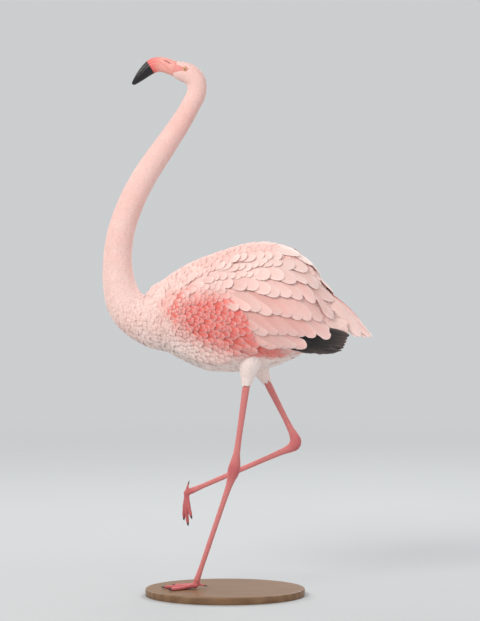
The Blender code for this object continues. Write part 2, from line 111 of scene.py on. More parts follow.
# %% Sections from tail root to bill
BODY_LINE = np.array([  # x, z, up, down, side in metres
    (0.300, 0.757, 0.018, 0.020, 0.016),
    (0.270, 0.764, 0.060, 0.062, 0.038),
    (0.235, 0.766, 0.114, 0.098, 0.064),
    (0.195, 0.767, 0.155, 0.122, 0.085),
    (0.150, 0.768, 0.176, 0.142, 0.098),
    (0.105, 0.768, 0.184, 0.154, 0.104),
    (0.060, 0.768, 0.180, 0.160, 0.106),
    (0.000, 0.769, 0.163, 0.163, 0.104),
    (-0.060, 0.769, 0.139, 0.158, 0.097),
    (-0.110, 0.765, 0.115, 0.139, 0.086),
    (-0.158, 0.758, 0.089, 0.110, 0.072),
    (-0.202, 0.751, 0.073, 0.081, 0.059),
    (-0.239, 0.759, 0.059, 0.059, 0.050),
    (-0.266, 0.787, 0.051, 0.051, 0.043),
    (-0.282, 0.833, 0.044, 0.044, 0.038),
    (-0.288, 0.890, 0.0390, 0.0390, 0.0345),
    (-0.281, 0.965, 0.0360, 0.0360, 0.0325),
    (-0.254, 1.050, 0.0340, 0.0340, 0.0310),
    (-0.213, 1.130, 0.0325, 0.0325, 0.0295),
    (-0.162, 1.206, 0.0300, 0.0300, 0.0270),
    (-0.120, 1.268, 0.0270, 0.0270, 0.0240),
    (-0.091, 1.318, 0.0250, 0.0250, 0.0222),
    (-0.0755, 1.353, 0.0256, 0.0250, 0.0220),
    (-0.0785, 1.381, 0.0272, 0.0252, 0.0228),
    (-0.0965, 1.401, 0.0268, 0.0272, 0.0220),
    (-0.116, 1.4088, 0.0240, 0.0262, 0.0194),
    (-0.134, 1.4148, 0.0200, 0.0208, 0.0152),
])
NECK_FOOT, NAPE, BILL_BASE = 12, 22, 26


# %% Reading the sections smoothly
def read_rows(rows, t, place):
    """The sections at t, on a smooth curve; the first `place` columns are the position."""
    rows = np.asarray(rows, float)
    t = np.asarray(t, float)
    gap = np.maximum(np.linalg.norm(np.diff(rows[:, :place], axis=0), axis=1), 1e-6)[:, None]
    rise = np.diff(rows, axis=0) / gap
    slope = np.vstack([rise[:1], rise[-1:]])
    middle = (rise[:-1] * gap[1:] + rise[1:] * gap[:-1]) / (gap[:-1] + gap[1:])
    slope = np.vstack([slope[:1], middle, slope[1:]])
    i = np.clip(t.astype(int), 0, len(rows) - 2)
    f, h = (t - i)[:, None], gap[i]
    start = (1 + 2 * f) * (1 - f) ** 2 * rows[i] + f * (1 - f) ** 2 * h * slope[i]
    return start + f * f * (3 - 2 * f) * rows[i + 1] + f * f * (f - 1) * h * slope[i + 1]


# %% Places along the line, closer together on the head
fine_t = np.linspace(0, BILL_BASE, 6000)
fine = read_rows(BODY_LINE, fine_t, 2)
run = run_along(fine[:, :2])
step_at = np.interp(fine_t, [0, 11, 14, 20, 22, 23, 26], [4.0, 4.0, 3.0, 2.2, 1.5, 1.1, 1.0]) * MM
rings_so_far = np.concatenate([[0], np.cumsum(np.diff(run) / step_at[1:])])
ring_t = np.interp(np.arange(int(rings_so_far[-1]) + 1), rings_so_far, fine_t)
RINGS, ROUND = len(ring_t), 128
body_rows = read_rows(BODY_LINE, ring_t, 2)
print(f"the line is {run[-1]:.3f} m long and carries {RINGS} rings of {ROUND} points")

# %% [markdown]
# ## Forms made of rings
#
# A form is a grid of points, ring after ring. From its neighbours each point also knows the
# way along the line and the way round it. Between grid points we blend, so a feather can
# start anywhere. A mesh with a search tree would also do, but a form is much quicker to read.


# %% A form and how to read it
class Form:
    """A closed surface on rings round a line."""

    def __init__(self, points):
        self.points = points
        self.rings, self.round = points.shape[:2]
        self.along = np.gradient(points, axis=0)
        self.around = (np.roll(points, -1, 1) - np.roll(points, 1, 1)) / 2

    def read(self, grid, ring, turn):
        """Blends the four grid values round each place."""
        ring = np.clip(ring, 0, self.rings - 1.001)
        i, k = np.floor(ring).astype(int), np.floor(turn).astype(int)
        f, g = (ring - i)[..., None], (turn - k)[..., None]
        k, n = k % self.round, (k + 1) % self.round
        low = grid[i, k] * (1 - g) + grid[i, n] * g
        return low * (1 - f) + (grid[i + 1, k] * (1 - g) + grid[i + 1, n] * g) * f


# %% Rings of points round a line
def ring_points(centre, ahead, reach):
    """Points at these reaches round each centre, square to the line, and the ways out to them."""
    ahead = unit(ahead)
    side = unit(SIDEWAYS - ahead * dot(SIDEWAYS, ahead))
    up = np.cross(side, ahead)
    angle = np.arange(reach.shape[1]) * 2 * np.pi / reach.shape[1]
    outward = side[:, None] * np.cos(angle)[:, None] + up[:, None] * np.sin(angle)[:, None]
    return centre[:, None] + outward * reach[..., None], outward


def oval_reach(up, down, side, count):
    """How far an oval reaches at each angle from its centre."""
    angle = np.arange(count) * 2 * np.pi / count
    tall = np.where(np.sin(angle) > 0, up[:, None], down[:, None])
    return 1 / np.hypot(np.cos(angle) / side[:, None], np.sin(angle) / tall)


# %% [markdown]
# ## Where the plumage ends
#
# The folded wing lies on the trunk like a thin pad. We measure the pads on the solids by
# shooting rays at them from outside, square to the body's line, and let the form bulge there.
# A little smoothing turns the pad's edge into a soft shoulder, as feathers do.


# %% Rays from outside onto the wings
def tree_of(*nodes):
    """One search tree over these solids."""
    corners, faces = [], []
    for node in nodes:
        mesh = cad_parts[node].data
        start = len(corners)
        corners += [v.co.copy() for v in mesh.vertices]
        faces += [[start + v for v in face.vertices] for face in mesh.polygons]
    return BVHTree.FromPolygons(corners, faces)


WING_NODES = [f"wing_{side}_{part}" for side in ("left", "right") for part in ("coverts", "quills")]
RAY_START = 0.4  # rays start this far from the line, well outside the wings
line = np.stack([body_rows[:, 0], np.zeros(RINGS), body_rows[:, 1]], axis=1)
forwards = np.gradient(line, axis=0)
plain_reach = oval_reach(*body_rows[:, 2:].T, ROUND)
_, outward = ring_points(line, forwards, plain_reach)

wings = tree_of(*WING_NODES)
full_reach = plain_reach.copy()
TRUNK_RINGS = np.flatnonzero(ring_t < NECK_FOOT)
for i in TRUNK_RINGS:
    for k in range(ROUND):
        start = Vector(line[i] + outward[i, k] * RAY_START)
        hit = wings.ray_cast(start, Vector(-outward[i, k]), RAY_START)[3]
        if hit is not None:
            full_reach[i, k] = max(full_reach[i, k], RAY_START - hit)
print(f"the wings lift the form by up to {(full_reach - plain_reach).max() / MM:.0f} mm")


# %% Soft edges for the pads
def soften(grid, times):
    """Averages each value with its neighbours, round the ring and along the line."""
    for _ in range(times):
        padded = np.vstack([grid[:1], grid, grid[-1:]])
        grid = (padded[:-2] + 2 * grid + padded[2:]) / 4
        grid = (np.roll(grid, 1, 1) + 2 * grid + np.roll(grid, -1, 1)) / 4
    return grid


pads = soften(full_reach - plain_reach, 4)

# %% [markdown]
# ## The markings
#
# A grown greater flamingo is a pale, rosy white, with a warmer neck and a whiter belly. The
# small wing feathers are coral to crimson and the flight feathers are black. Each colour is
# worked out from a place on the bird, and both skin and feathers ask the same function, so
# they always agree. Painting a picture on would look the same but could not be resized.

# %% Colours, as light leaves them
ROSY_WHITE = np.array((0.90, 0.66, 0.60))
BLUSH = np.array((0.84, 0.36, 0.31))
SNOW = np.array((0.92, 0.82, 0.78))
CORAL = np.array((0.80, 0.125, 0.095))
CRIMSON = np.array((0.62, 0.040, 0.048))
SOOT = np.array((0.013, 0.011, 0.012))
BARE_PINK = np.array((0.80, 0.30, 0.27))
LEG_PINK = np.array((0.76, 0.205, 0.200))
JOINT_PINK = np.array((0.60, 0.085, 0.100))

# %% Where each colour goes
PATCH_MIDDLE = (0.015, 0.735)  # x, z
PATCH_SIZE = (0.200, 0.092)  # half its length and half its height
PATCH_LEAN = math.radians(-16)


def coral_share(points):
    """How red the small wing feathers are: 1 in the middle of the patch and 0 outside it."""
    x, y, z = points.T
    x, z = x - PATCH_MIDDLE[0], z - PATCH_MIDDLE[1]
    cos, sin = math.cos(PATCH_LEAN), math.sin(PATCH_LEAN)
    along, across = x * cos + z * sin, z * cos - x * sin
    away = np.hypot(along / PATCH_SIZE[0], across / PATCH_SIZE[1]) + 0.10 * drift(points, 0.018)
    return (1 - ease(0.45, 1.12, away)) * ease(0.030, 0.060, np.abs(y))


# %% Plumage colours
def body_colour(points):
    """The plumage's colour at these places, apart from the wing's patch."""
    x, _, z = points.T
    neck = ease(0.80, 1.00, z) * (1 - ease(1.30, 1.42, z))
    back = ease(0.80, 0.93, z) * ease(-0.22, -0.10, x)
    belly = 1 - ease(0.62, 0.74, z)
    warmth = 0.18 + 0.20 * neck + 0.13 * back - 0.16 * belly + 0.10 * drift(points, 0.05)
    colour = mix(ROSY_WHITE, BLUSH, np.clip(warmth, 0, 1)[:, None])
    return mix(colour, SNOW, np.clip(0.60 * belly + 0.12 * drift(points, 0.021), 0, 1)[:, None])


def plumage_colour(points):
    """The plumage's colour at these places."""
    colour, red = body_colour(points), coral_share(points)[:, None]
    wing = mix(CORAL, CRIMSON, ease(0.6, 1.0, red) * 0.55)
    return mix(mix(colour, mix(BLUSH, CORAL, 0.45), ease(0.0, 0.45, red)), wing, ease(0.25, 0.85, red))


# %% [markdown]
# ## Meshes from arrays
#
# Blender can take a whole mesh in a few calls. We hand over points and faces as flat arrays,
# then store on each point its tint, and its place on the feather for the barbs. Adding
# feathers one by one as objects would be easier to read, but far too slow for a whole coat.


# %% Tints and facing
def store_tint(mesh, tint):
    """Stores a colour on each point of a mesh."""
    colours = np.concatenate([tint, np.ones((len(tint), 1))], axis=1).astype(np.float32)
    mesh.attributes.new("tint", "FLOAT_COLOR", "POINT").data.foreach_set("color", colours.ravel())


def faces_inwards(points, quads, middle):
    """Whether the faces of a closed mesh look towards its middle, or each towards its own."""
    a, b, c = points[quads[:, 0]], points[quads[:, 1]], points[quads[:, 2]]
    return np.einsum("ij,ij->i", np.cross(b - a, c - a), a - middle).sum() < 0


# %% A mesh object from points and faces
def mesh_object(name, points, quads, caps=None, tint=None, vane=None, uv=None, sharp=60):
    """An object of four-sided faces, with end caps of equal size if there are any."""
    mesh = bpy.data.meshes.new(name)
    mesh.vertices.add(len(points))
    mesh.vertices.foreach_set("co", np.ascontiguousarray(points, np.float32).ravel())
    loops = quads.ravel()
    starts = np.arange(len(quads)) * 4
    if caps is not None and len(caps):
        starts = np.concatenate([starts, len(loops) + np.arange(len(caps)) * caps.shape[1]])
        loops = np.concatenate([loops, caps.ravel()])
    mesh.loops.add(len(loops))
    mesh.loops.foreach_set("vertex_index", loops.astype(np.int32))
    mesh.polygons.add(len(starts))
    mesh.polygons.foreach_set("loop_start", starts.astype(np.int32))
    mesh.update(calc_edges=True)
    mesh.shade_smooth()
    mesh.set_sharp_from_angle(angle=math.radians(sharp))
    if tint is not None:
        store_tint(mesh, tint)
    if vane is not None:
        data = mesh.attributes.new("vane", "FLOAT_VECTOR", "POINT").data
        data.foreach_set("vector", vane.astype(np.float32).ravel())
    if uv is not None:
        layer = mesh.uv_layers.new(name="OFBake")
        layer.uv.foreach_set("vector", uv[loops].astype(np.float32).ravel())
    obj = bpy.data.objects.new(name, mesh)
    bpy.context.scene.collection.objects.link(obj)
    return obj


# %% Closed tubes
def grid_quads(rings, count):
    """Faces between neighbouring rings of one closed tube."""
    i, k = np.meshgrid(np.arange(rings - 1), np.arange(count), indexing="ij")
    n = (k + 1) % count
    quads = np.stack([i * count + k, i * count + n, (i + 1) * count + n, (i + 1) * count + k], -1)
    return quads.reshape(-1, 4)


def tube_object(name, rings, tint=None, vane=None, uv=None, sharp=60):
    """A closed tube with a flat cap at each end."""
    count = rings.shape[1]
    quads = grid_quads(len(rings), count)
    last = (len(rings) - 1) * count
    caps = np.array([np.arange(count)[::-1], last + np.arange(count)])
    points = rings.reshape(-1, 3)
    if faces_inwards(points, quads, points.mean(0)):
        quads, caps = quads[:, ::-1], caps[:, ::-1]
    return mesh_object(name, points, quads, caps, tint, vane, uv, sharp)


# %% Handing a piece over
def dress(obj, finish, slot, *solids):
    """Gives a piece its finish and lets it stand for these solids; the slot is not used."""
    obj.data.materials.append(finish)
    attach(obj, "root")
    if solids:
        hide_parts(*solids)


# %% [markdown]
# ## The bare face
#
# Between bill and eye, and in a ring round the eye, a flamingo has no feathers but smooth pink
# skin. The eye sits between an upper and a lower lid. We mark these places by their distance
# from the eye, counted in half widths of the opening, and from a line towards the bill. A
# painted mask would work too, but it would have to be painted again for every new head.

# %% Eyes and bare skin
EYES = {}
for place in ("left", "right"):
    low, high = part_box(f"eye_{place}")
    EYES[place] = np.array([(a + b) / 2 for a, b in zip(low, high)])
EYE_RADIUS = 7.0 * MM
LID_OPENING = (5.7 * MM, 4.4 * MM)  # half its length and half its height
FORWARD = unit(np.array([-0.951, 0.0, 0.309]))  # along the straight base of the bill
ABOVE = np.array([0.309, 0.0, 0.951])  # square to it, over the crown
print("each eye is", round(2 * EYE_RADIUS / MM), "mm across")


def eye_axes(place):
    """The way an eye looks, and forwards and upwards across it."""
    look = unit(np.array([-0.16, -1.0 if place == "left" else 1.0, 0.02]))
    ahead = unit(FORWARD - look * FORWARD.dot(look))
    over = np.cross(look, ahead)
    return look, ahead, over if over[2] > 0 else -over


def eye_place(points, place):
    """How far places are from the eye's middle, forwards and upwards, in lid half sizes."""
    _, ahead, over = eye_axes(place)
    away = points - EYES[place]
    return dot(away, ahead)[..., 0] / LID_OPENING[0], dot(away, over)[..., 0] / LID_OPENING[1]


# %% The face and the lids' level
def bareness(points):
    """1 on the bare skin of the face and 0 where feathers grow."""
    bare = np.zeros(len(points))
    for place, eye in EYES.items():
        near = np.sign(points[:, 1]) == np.sign(eye[1])
        ring = 1 - ease(1.32, 1.62, np.hypot(*eye_place(points, place)))
        reach, height = dot(points - eye, FORWARD)[:, 0], dot(points - eye, ABOVE)[:, 0]
        width = np.interp(reach, [0, 0.012, 0.030], [4.5 * MM, 7.0 * MM, 12.5 * MM])
        lores = (1 - ease(0.85, 1.1, np.abs(height + 0.25 * reach) / width)) * (reach > 0)
        bare = np.maximum(bare, np.where(near, np.maximum(ring, lores), 0))
    return bare


def fit_to_eyes(rings, opening):
    """Brings a form's surface level with the lids; a skin also opens over the ball."""
    rings = rings.copy()
    for place in EYES:
        look = eye_axes(place)[0]
        away = np.hypot(*eye_place(rings, place))
        level = dot(rings - EYES[place], look)[..., 0]
        edge = 0.5 * (LID_OPENING[0] + LID_OPENING[1]) * np.clip(away, 1.0, 1.2)
        lid_level = np.sqrt(EYE_RADIUS**2 - edge**2) + 0.35 * MM
        pull = np.where(level > 0, 1 - ease(1.1, 2.5, away), 0)
        target = level + (lid_level - level) * pull
        if opening:
            behind_lids = mix(np.full_like(away, 1.0 * MM), target, ease(0.72, 0.98, away))
            target = np.where(level > 0, behind_lids, target)
            target += 0.35 * MM * np.exp(-(((away - 1.35) / 0.16) ** 2)) * (level > 0)
        rings += look * (target - level)[..., None]
    return rings


# %% [markdown]
# ## One skin
#
# The skin follows the plumage a few millimetres below it, deepest on the trunk and almost
# level with it on the face. It is one closed mesh from tail to bill, so no seam shows between
# head, neck and trunk. Melting the solids together would hide the seams too, but then the
# feathers' rows could not follow its rings. Behind the thigh the wing is feathers only, so the
# pads fade out there.

# %% The skin's rings
plumage = Form(fit_to_eyes(ring_points(line, forwards, plain_reach + pads)[0], opening=False))
DEPTHS = np.array([  # place on the line, depth of the coat in mm
    (0, 7), (4, 7), (11, 6), (14, 3.0), (20, 1.3), (23, 0.85), (25.2, 0.65), (26, 0.1),
])
coat_depth = np.interp(ring_t, *DEPTHS.T) * MM
pad_left = 1 - ease(0.10, 0.20, line[:, 0])[:, None]
skin_rings, _ = ring_points(line, forwards, plain_reach + pads * pad_left - coat_depth[:, None])
skin_rings = fit_to_eyes(skin_rings, opening=True)

# %% The last rings, a little way over the root of the bill
bill_base = line[-1]
bill_ahead = unit(bill_base - np.array([BODY_LINE[-2, 0], 0.0, BODY_LINE[-2, 1]]))
flare = skin_rings[-1] - bill_base
laps = [(0.6, 1.006), (1.2, 1.008), (1.8, 1.004), (2.2, 0.994), (2.2, 0.970)]  # mm ahead, growth
lap_rings = np.array([bill_base + bill_ahead * reach * MM + flare * grow for reach, grow in laps])
skin_rings = np.concatenate([skin_rings, lap_rings])

# %% The skin's tints and its mesh
skin_points = skin_rings.reshape(-1, 3)
skin_bare = bareness(skin_points)
skin_bare[-len(laps) * ROUND:] = 1
skin_tint = mix(plumage_colour(skin_points), BARE_PINK, skin_bare[:, None])
ring_share = np.repeat(np.linspace(0, 1, len(skin_rings)), ROUND)
skin_uv = np.stack([ring_share, np.tile(np.arange(ROUND) / ROUND, len(skin_rings))], axis=1)
skin = tube_object("flamingo_skin", skin_rings, skin_tint, None, skin_uv, sharp=180)
print("the skin has", len(skin.data.polygons), "faces")

# %% [markdown]
# ## How a feather is made
#
# A feather is a thin vane on a stiff shaft. Seen end on, each of ours is a shallow tent: two
# edges, a ridge where the shaft runs, and an underside. Its outline is narrow at the root,
# full in the middle and round at the tip. Cards with a picture of a feather are lighter, but
# they need an image and look wrong from the side, so we build the vane itself.

# %% Places along a feather
TENT = np.array([(-1.0, 0.0), (0.0, 1.0), (1.0, 0.0)])  # across, lift
VANE = np.array([(-1.0, 0.0), (-0.5, 0.55), (0.0, 1.0), (0.5, 0.55), (1.0, 0.0), (0.0, -0.6)])


def places_along(count):
    """Shares of the length, closer together towards the round tip."""
    return 1 - (1 - np.linspace(0, 1, count)) ** 1.5


def respace(values, count):
    """Values that were stepped evenly along each feather, read at its places."""
    at = places_along(count) * (values.shape[1] - 1)
    low = np.minimum(at.astype(int), values.shape[1] - 2)
    return mix(values[:, low], values[:, low + 1], (at - low)[None, :, None])


def outline(t, root, shoulder, tip):
    """The share of full width: narrow at the root, full from the shoulder on, round at the tip."""
    widen = root + (1 - root) * ease(0, shoulder, t)
    return widen * np.sqrt(np.clip(1 - (np.clip(t - tip, 0, 1) / (1 - tip)) ** 2, 0.006, 1))


# %% Vanes on their centre lines
def vanes(centre, out, heading, width, shape, section, ridge=0.14, camber=0.14, ragged=0.0, roll=0.0):
    """Points of many vanes, as feather, place along and place round the section.

    Ridge and camber raise the shaft and drop the edges, in half widths. Ragged frays the edges,
    and roll tips the vane over sideways.
    """
    count, places = centre.shape[:2]
    t = places_along(places)
    half = width[:, None] / 2 * outline(t, *shape)
    side = unit(np.cross(heading, out))
    side, out = side + out * roll, out - side * roll
    fray = 1 - ragged * chance.random((2, count, places)) ** 3 * ease(0.25, 0.6, t)
    rings = []
    for across, lift in section:
        reach = half * fray[0 if across < 0 else 1] * across
        height = (width[:, None] / 2) * (ridge * lift - camber * across * across) * ease(-0.15, 0.3, t)
        height = height * np.clip(half / (width[:, None] / 2), 0.15, 1)
        rings.append(centre + side * reach[..., None] + out * height[..., None])
    return np.stack(rings, axis=2)


# %% What a mesh needs from its vanes
UV_PATCH = 0.003  # each feather's own patch on the unwrapped skin


def batch_of(rings, section, tint, root_uv):
    """All that one mesh needs to know about a batch of vanes."""
    count, places = rings.shape[:2]
    vane = np.empty(rings.shape)
    vane[..., 0] = section[:, 0]
    vane[..., 1] = places_along(places)[None, :, None]
    vane[..., 2] = chance.random(count)[:, None, None]
    tint = np.broadcast_to(tint.reshape(count, -1, 1, 3), rings.shape)
    patch = np.stack([vane[..., 0] / 2, vane[..., 1] - 0.5], axis=-1) * UV_PATCH
    return {"points": rings, "vane": vane, "tint": tint, "uv": root_uv[:, None, None] + patch}


# %% Joining batches into a coat piece
def coat_piece(name, batches, finish, slot="plumage", solids=()):
    """One object from batches of vanes of one kind of section."""
    quads, caps = [], []
    start = 0
    for batch in batches:
        count, places, around = batch["points"].shape[:3]
        first = start + np.arange(count)[:, None, None] * places * around
        quads.append((grid_quads(places, around)[None] + first).reshape(-1, 4))
        ends = np.array([np.arange(around)[::-1], (places - 1) * around + np.arange(around)])
        caps.append((ends[None] + first).reshape(-1, around))
        start += count * places * around
    merged = {
        key: np.concatenate([batch[key].reshape(-1, batch[key].shape[-1]) for batch in batches])
        for key in ("points", "tint", "vane", "uv")
    }
    quads, caps = np.concatenate(quads), np.concatenate(caps)
    obj = mesh_object(name, merged["points"], quads, caps, merged["tint"], merged["vane"], merged["uv"])
    dress(obj, finish, slot, *solids)
    feathers = sum(len(batch["points"]) for batch in batches)
    print(f"{name}: {feathers} feathers, {2 * len(quads) + len(caps) * (caps.shape[1] - 2)} triangles")


# %% [markdown]
# ## Growing feathers on a form
#
# Feathers stand in rows, each row shifted by half a feather, and lie towards the tail. We set
# out rings of roots, shake them a little so that the rows don't look printed, and drop the
# ones that crowd where the neck bends. From its root each feather walks over the form in
# short steps, rising from the skin to the surface and just above it at the tip. Scattering
# the roots would be simpler, but feathers without rows don't overlap like tiles.

# %% Rows of roots
SHAKE_ROUND, SHAKE_ALONG = 0.16, 0.25  # how far roots leave their rows, in gaps and rows
ROW_STEP = 0.72  # rows are this share of a gap apart
CROWDED = 0.6  # roots closer than this share of a gap are thinned


def rows_of_roots(form, first, last, gap_at):
    """Ring and turn of roots in shifted rows between two rings, thinned where they crowd."""
    centre_run = run_along(form.points.mean(1))
    rings, turns, gaps = [], [], []
    place, row = first, 0
    while place < last:
        gap = float(gap_at(place))
        ring = form.read(form.points, np.full(form.round, place), np.arange(form.round))
        travelled = run_along(np.vstack([ring, ring[:1]]))
        count = max(6, int(travelled[-1] / gap))
        at = (np.arange(count) + 0.5 * (row % 2) + chance.normal(0, SHAKE_ROUND, count)) / count
        turns.append(np.interp(at % 1 * travelled[-1], travelled, np.arange(form.round + 1)))
        here = np.interp(place, np.arange(form.rings), centre_run)
        one_row = np.interp(here + gap * ROW_STEP, centre_run, np.arange(form.rings)) - place
        rings.append(place + chance.normal(0, SHAKE_ALONG, count) * one_row)
        gaps.append(np.full(count, gap))
        place += max(one_row, 0.02)
        row += 1
    ring, turn, gap = map(np.concatenate, (rings, turns, gaps))
    ring = np.clip(ring, 0, form.rings - 1.01)
    keep = uncrowded(form.read(form.points, ring, turn), gap * CROWDED)
    return ring[keep], turn[keep]


# %% Thinning
def uncrowded(points, room):
    """Indices of points that keep their room from all points kept before them."""
    size = float(room.max())
    cells, kept = {}, []
    for n, (x, y, z) in enumerate(points.tolist()):
        a, b, c = int(x // size), int(y // size), int(z // size)
        near = (
            other
            for i in (a - 1, a, a + 1) for j in (b - 1, b, b + 1) for k in (c - 1, c, c + 1)
            for other in cells.get((i, j, k), ())
        )
        limit = room[n] ** 2
        if all((x - p) ** 2 + (y - q) ** 2 + (z - r) ** 2 > limit for p, q, r in near):
            cells.setdefault((a, b, c), []).append((x, y, z))
            kept.append(n)
    return np.array(kept, int)


# %% [markdown]
# ## The lie of the plumage
#
# Body feathers lie back along the line. On the wing they spread: level along the back, steep
# behind the shoulder, and flatter again along the lower edge. A few arrows, each a place in
# the side view and an angle, say this better than a formula. Between arrows we blend.

# %% Arrows on the wing
ARROW_SPREAD = 0.035  # an arrow is heeded about this far round it
ARROWS = np.array([  # x, z, degrees up from straight back
    (-0.16, 0.74, -16), (-0.11, 0.81, -12), (-0.11, 0.68, -20), (-0.02, 0.88, -8),
    (-0.01, 0.78, -22), (-0.01, 0.68, -16), (0.05, 0.83, -30), (0.07, 0.76, -40),
    (0.07, 0.69, -26), (0.10, 0.93, -4), (0.12, 0.87, -18), (0.14, 0.80, -38),
    (0.14, 0.73, -42), (0.14, 0.67, -24), (0.19, 0.91, -12), (0.21, 0.85, -34),
    (0.22, 0.78, -50), (0.22, 0.71, -40), (0.21, 0.66, -18), (0.28, 0.80, -56),
    (0.29, 0.73, -62), (0.28, 0.67, -34),
])


def lie(points, along):
    """The way that feathers point: tailwards on the body, and by the arrows on the wing."""
    away = (points[:, None, 0] - ARROWS[:, 0]) ** 2 + (points[:, None, 2] - ARROWS[:, 1]) ** 2
    weight = np.exp(-away / (2 * ARROW_SPREAD**2)) + 1e-9
    angle = np.radians(ARROWS[:, 2])
    x, z = (weight * np.cos(angle)).sum(1), (weight * np.sin(angle)).sum(1)
    by_arrows = unit(np.stack([x, np.zeros(len(x)), z], -1))
    flank = ease(-0.16, -0.02, points[:, 0]) * ease(0.015, 0.055, np.abs(points[:, 1]))
    flank *= ease(0.63, 0.67, points[:, 2])
    return mix(-unit(along), by_arrows, flank[:, None])


def straight_back(points, along):
    """The way back along a form's line."""
    return -unit(along)


# %% Walking a feather over the form
def walk(form, ring, turn, length, aim, swing, steps=9):
    """Centre lines, ways out and headings of feathers that follow their aim from the root."""
    ring, turn = ring.astype(float), turn.astype(float)
    swing = chance.normal(0, swing, len(ring))[:, None]
    pace = (length / (steps - 1))[:, None]
    point = form.read(form.points, ring, turn)
    centres, outs, headings = [], [], []
    for _ in range(steps):
        along, around = form.read(form.along, ring, turn), form.read(form.around, ring, turn)
        out = unit(np.cross(along, around))
        way = aim(point, along)
        way = unit(way - out * dot(out, way))
        way = unit(way + np.cross(out, way) * swing)
        centres.append(point)
        outs.append(out)
        headings.append(way)
        move = way * pace
        e, f, g = dot(along, along)[:, 0], dot(along, around)[:, 0], dot(around, around)[:, 0]
        a, b = dot(along, move)[:, 0], dot(around, move)[:, 0]
        det = np.maximum(e * g - f * f, 1e-18)
        ring, turn = ring + (a * g - b * f) / det, turn + (b * e - a * f) / det
        on_form = (ring > 0)[:, None]  # past the last ring a feather runs straight on
        ring = np.maximum(ring, 0)
        point = np.where(on_form, form.read(form.points, ring, turn), point + move)
    return np.stack(centres, 1), np.stack(outs, 1), np.stack(headings, 1)


# %% Laying a batch
def lay(form, ring, turn, length, width, levels, places, section, colour=None, aim=lie, swing=0.10,
        rise=0.8, from_tip=False, shape=(0.35, 0.4, 0.60), **style):
    """A batch of feathers laid on a form, rising from one level at the root to another at the tip."""
    way = (lambda points, along: -aim(points, along)) if from_tip else aim
    centre, out, heading = walk(form, ring, turn, length, way, swing)
    if from_tip:
        centre, out, heading = centre[:, ::-1], out[:, ::-1], -heading[:, ::-1]
    centre, out, heading = (respace(lines, places) for lines in (centre, out, heading))
    out, heading = unit(out), unit(heading)
    t = places_along(places)
    low, high = (np.asarray(level)[..., None] for level in levels)
    centre = centre + out * (low + (high - low) * t**rise)[..., None]
    rings = vanes(centre, out, heading, width, shape, section, **style)
    if colour is None:
        colour = plumage_colour(centre[:, places // 2])
    colour = np.clip(colour * chance.uniform(0.94, 1.05, (len(ring), 1)), 0, 1)
    root_uv = np.stack([ring / (form.rings - 1), turn / form.round % 1], axis=1)
    return batch_of(rings, section, colour, np.clip(root_uv, 0.002, 0.998))


# %% [markdown]
# ## Finishes
#
# Feather barbs catch light in fine slanting lines on both sides of the shaft. The finish bumps
# them and paints them into the colour as faint highlights. The edge of a vane is paler than its
# root, and painted shade darkens the root, which lies under the next feathers. The finish reads
# each point's place on its feather for that.
# Sheen gives the soft bloom of plumage. It is the same all over, so it is set on the shader.


# %% A new finish and a new node
def new_finish(name, roughness, **settings):
    """A material, its tree of nodes and its Principled shader, with these settings."""
    material = bpy.data.materials.new(name)
    material.use_nodes = True
    tree = material.node_tree
    shader = tree.nodes["Principled BSDF"]
    shader.inputs["Roughness"].default_value = roughness
    for key, value in settings.items():
        shader.inputs[key.replace("_", " ")].default_value = value
    return material, tree, shader


def node(tree, kind, inputs=(), **settings):
    """A new node; inputs maps a socket to a number, a colour or another node's output."""
    made = tree.nodes.new(kind)
    for key, value in settings.items():
        setattr(made, key, value)
    for key, value in dict(inputs).items():
        if isinstance(value, bpy.types.NodeSocket):
            tree.links.new(value, made.inputs[key])
        else:
            made.inputs[key].default_value = value
    return made


# %% Common nodes
def maths(tree, operation, a, b=0.0, c=0.0):
    """The result of one operation on up to three values."""
    return node(tree, "ShaderNodeMath", {0: a, 1: b, 2: c}, operation=operation).outputs[0]


def noise(tree, scale, detail):
    """Soft spots; the larger the scale, the smaller the spots."""
    return node(tree, "ShaderNodeTexNoise", {"Scale": scale, "Detail": detail}).outputs["Fac"]


def stored(tree, name, kind="Vector"):
    """What the mesh stores on its points under this name."""
    return node(tree, "ShaderNodeAttribute", attribute_name=name).outputs[kind]


def blend_colour(tree, share, a, b, how="MIX"):
    """Colour a at share 0, b at share 1, and a blend between."""
    settings = {"data_type": "RGBA", "blend_type": how}
    return node(tree, "ShaderNodeMix", {0: share, 6: a, 7: b}, **settings).outputs[2]


def bump(tree, shader, height, distance, strength):
    """Fine relief for a shader, this many metres deep."""
    made = node(tree, "ShaderNodeBump", {"Height": height, "Distance": distance, "Strength": strength})
    tree.links.new(made.outputs[0], shader.inputs["Normal"])


# %% Feather finish
PALE_EDGE = (1.0, 0.90, 0.86, 1)


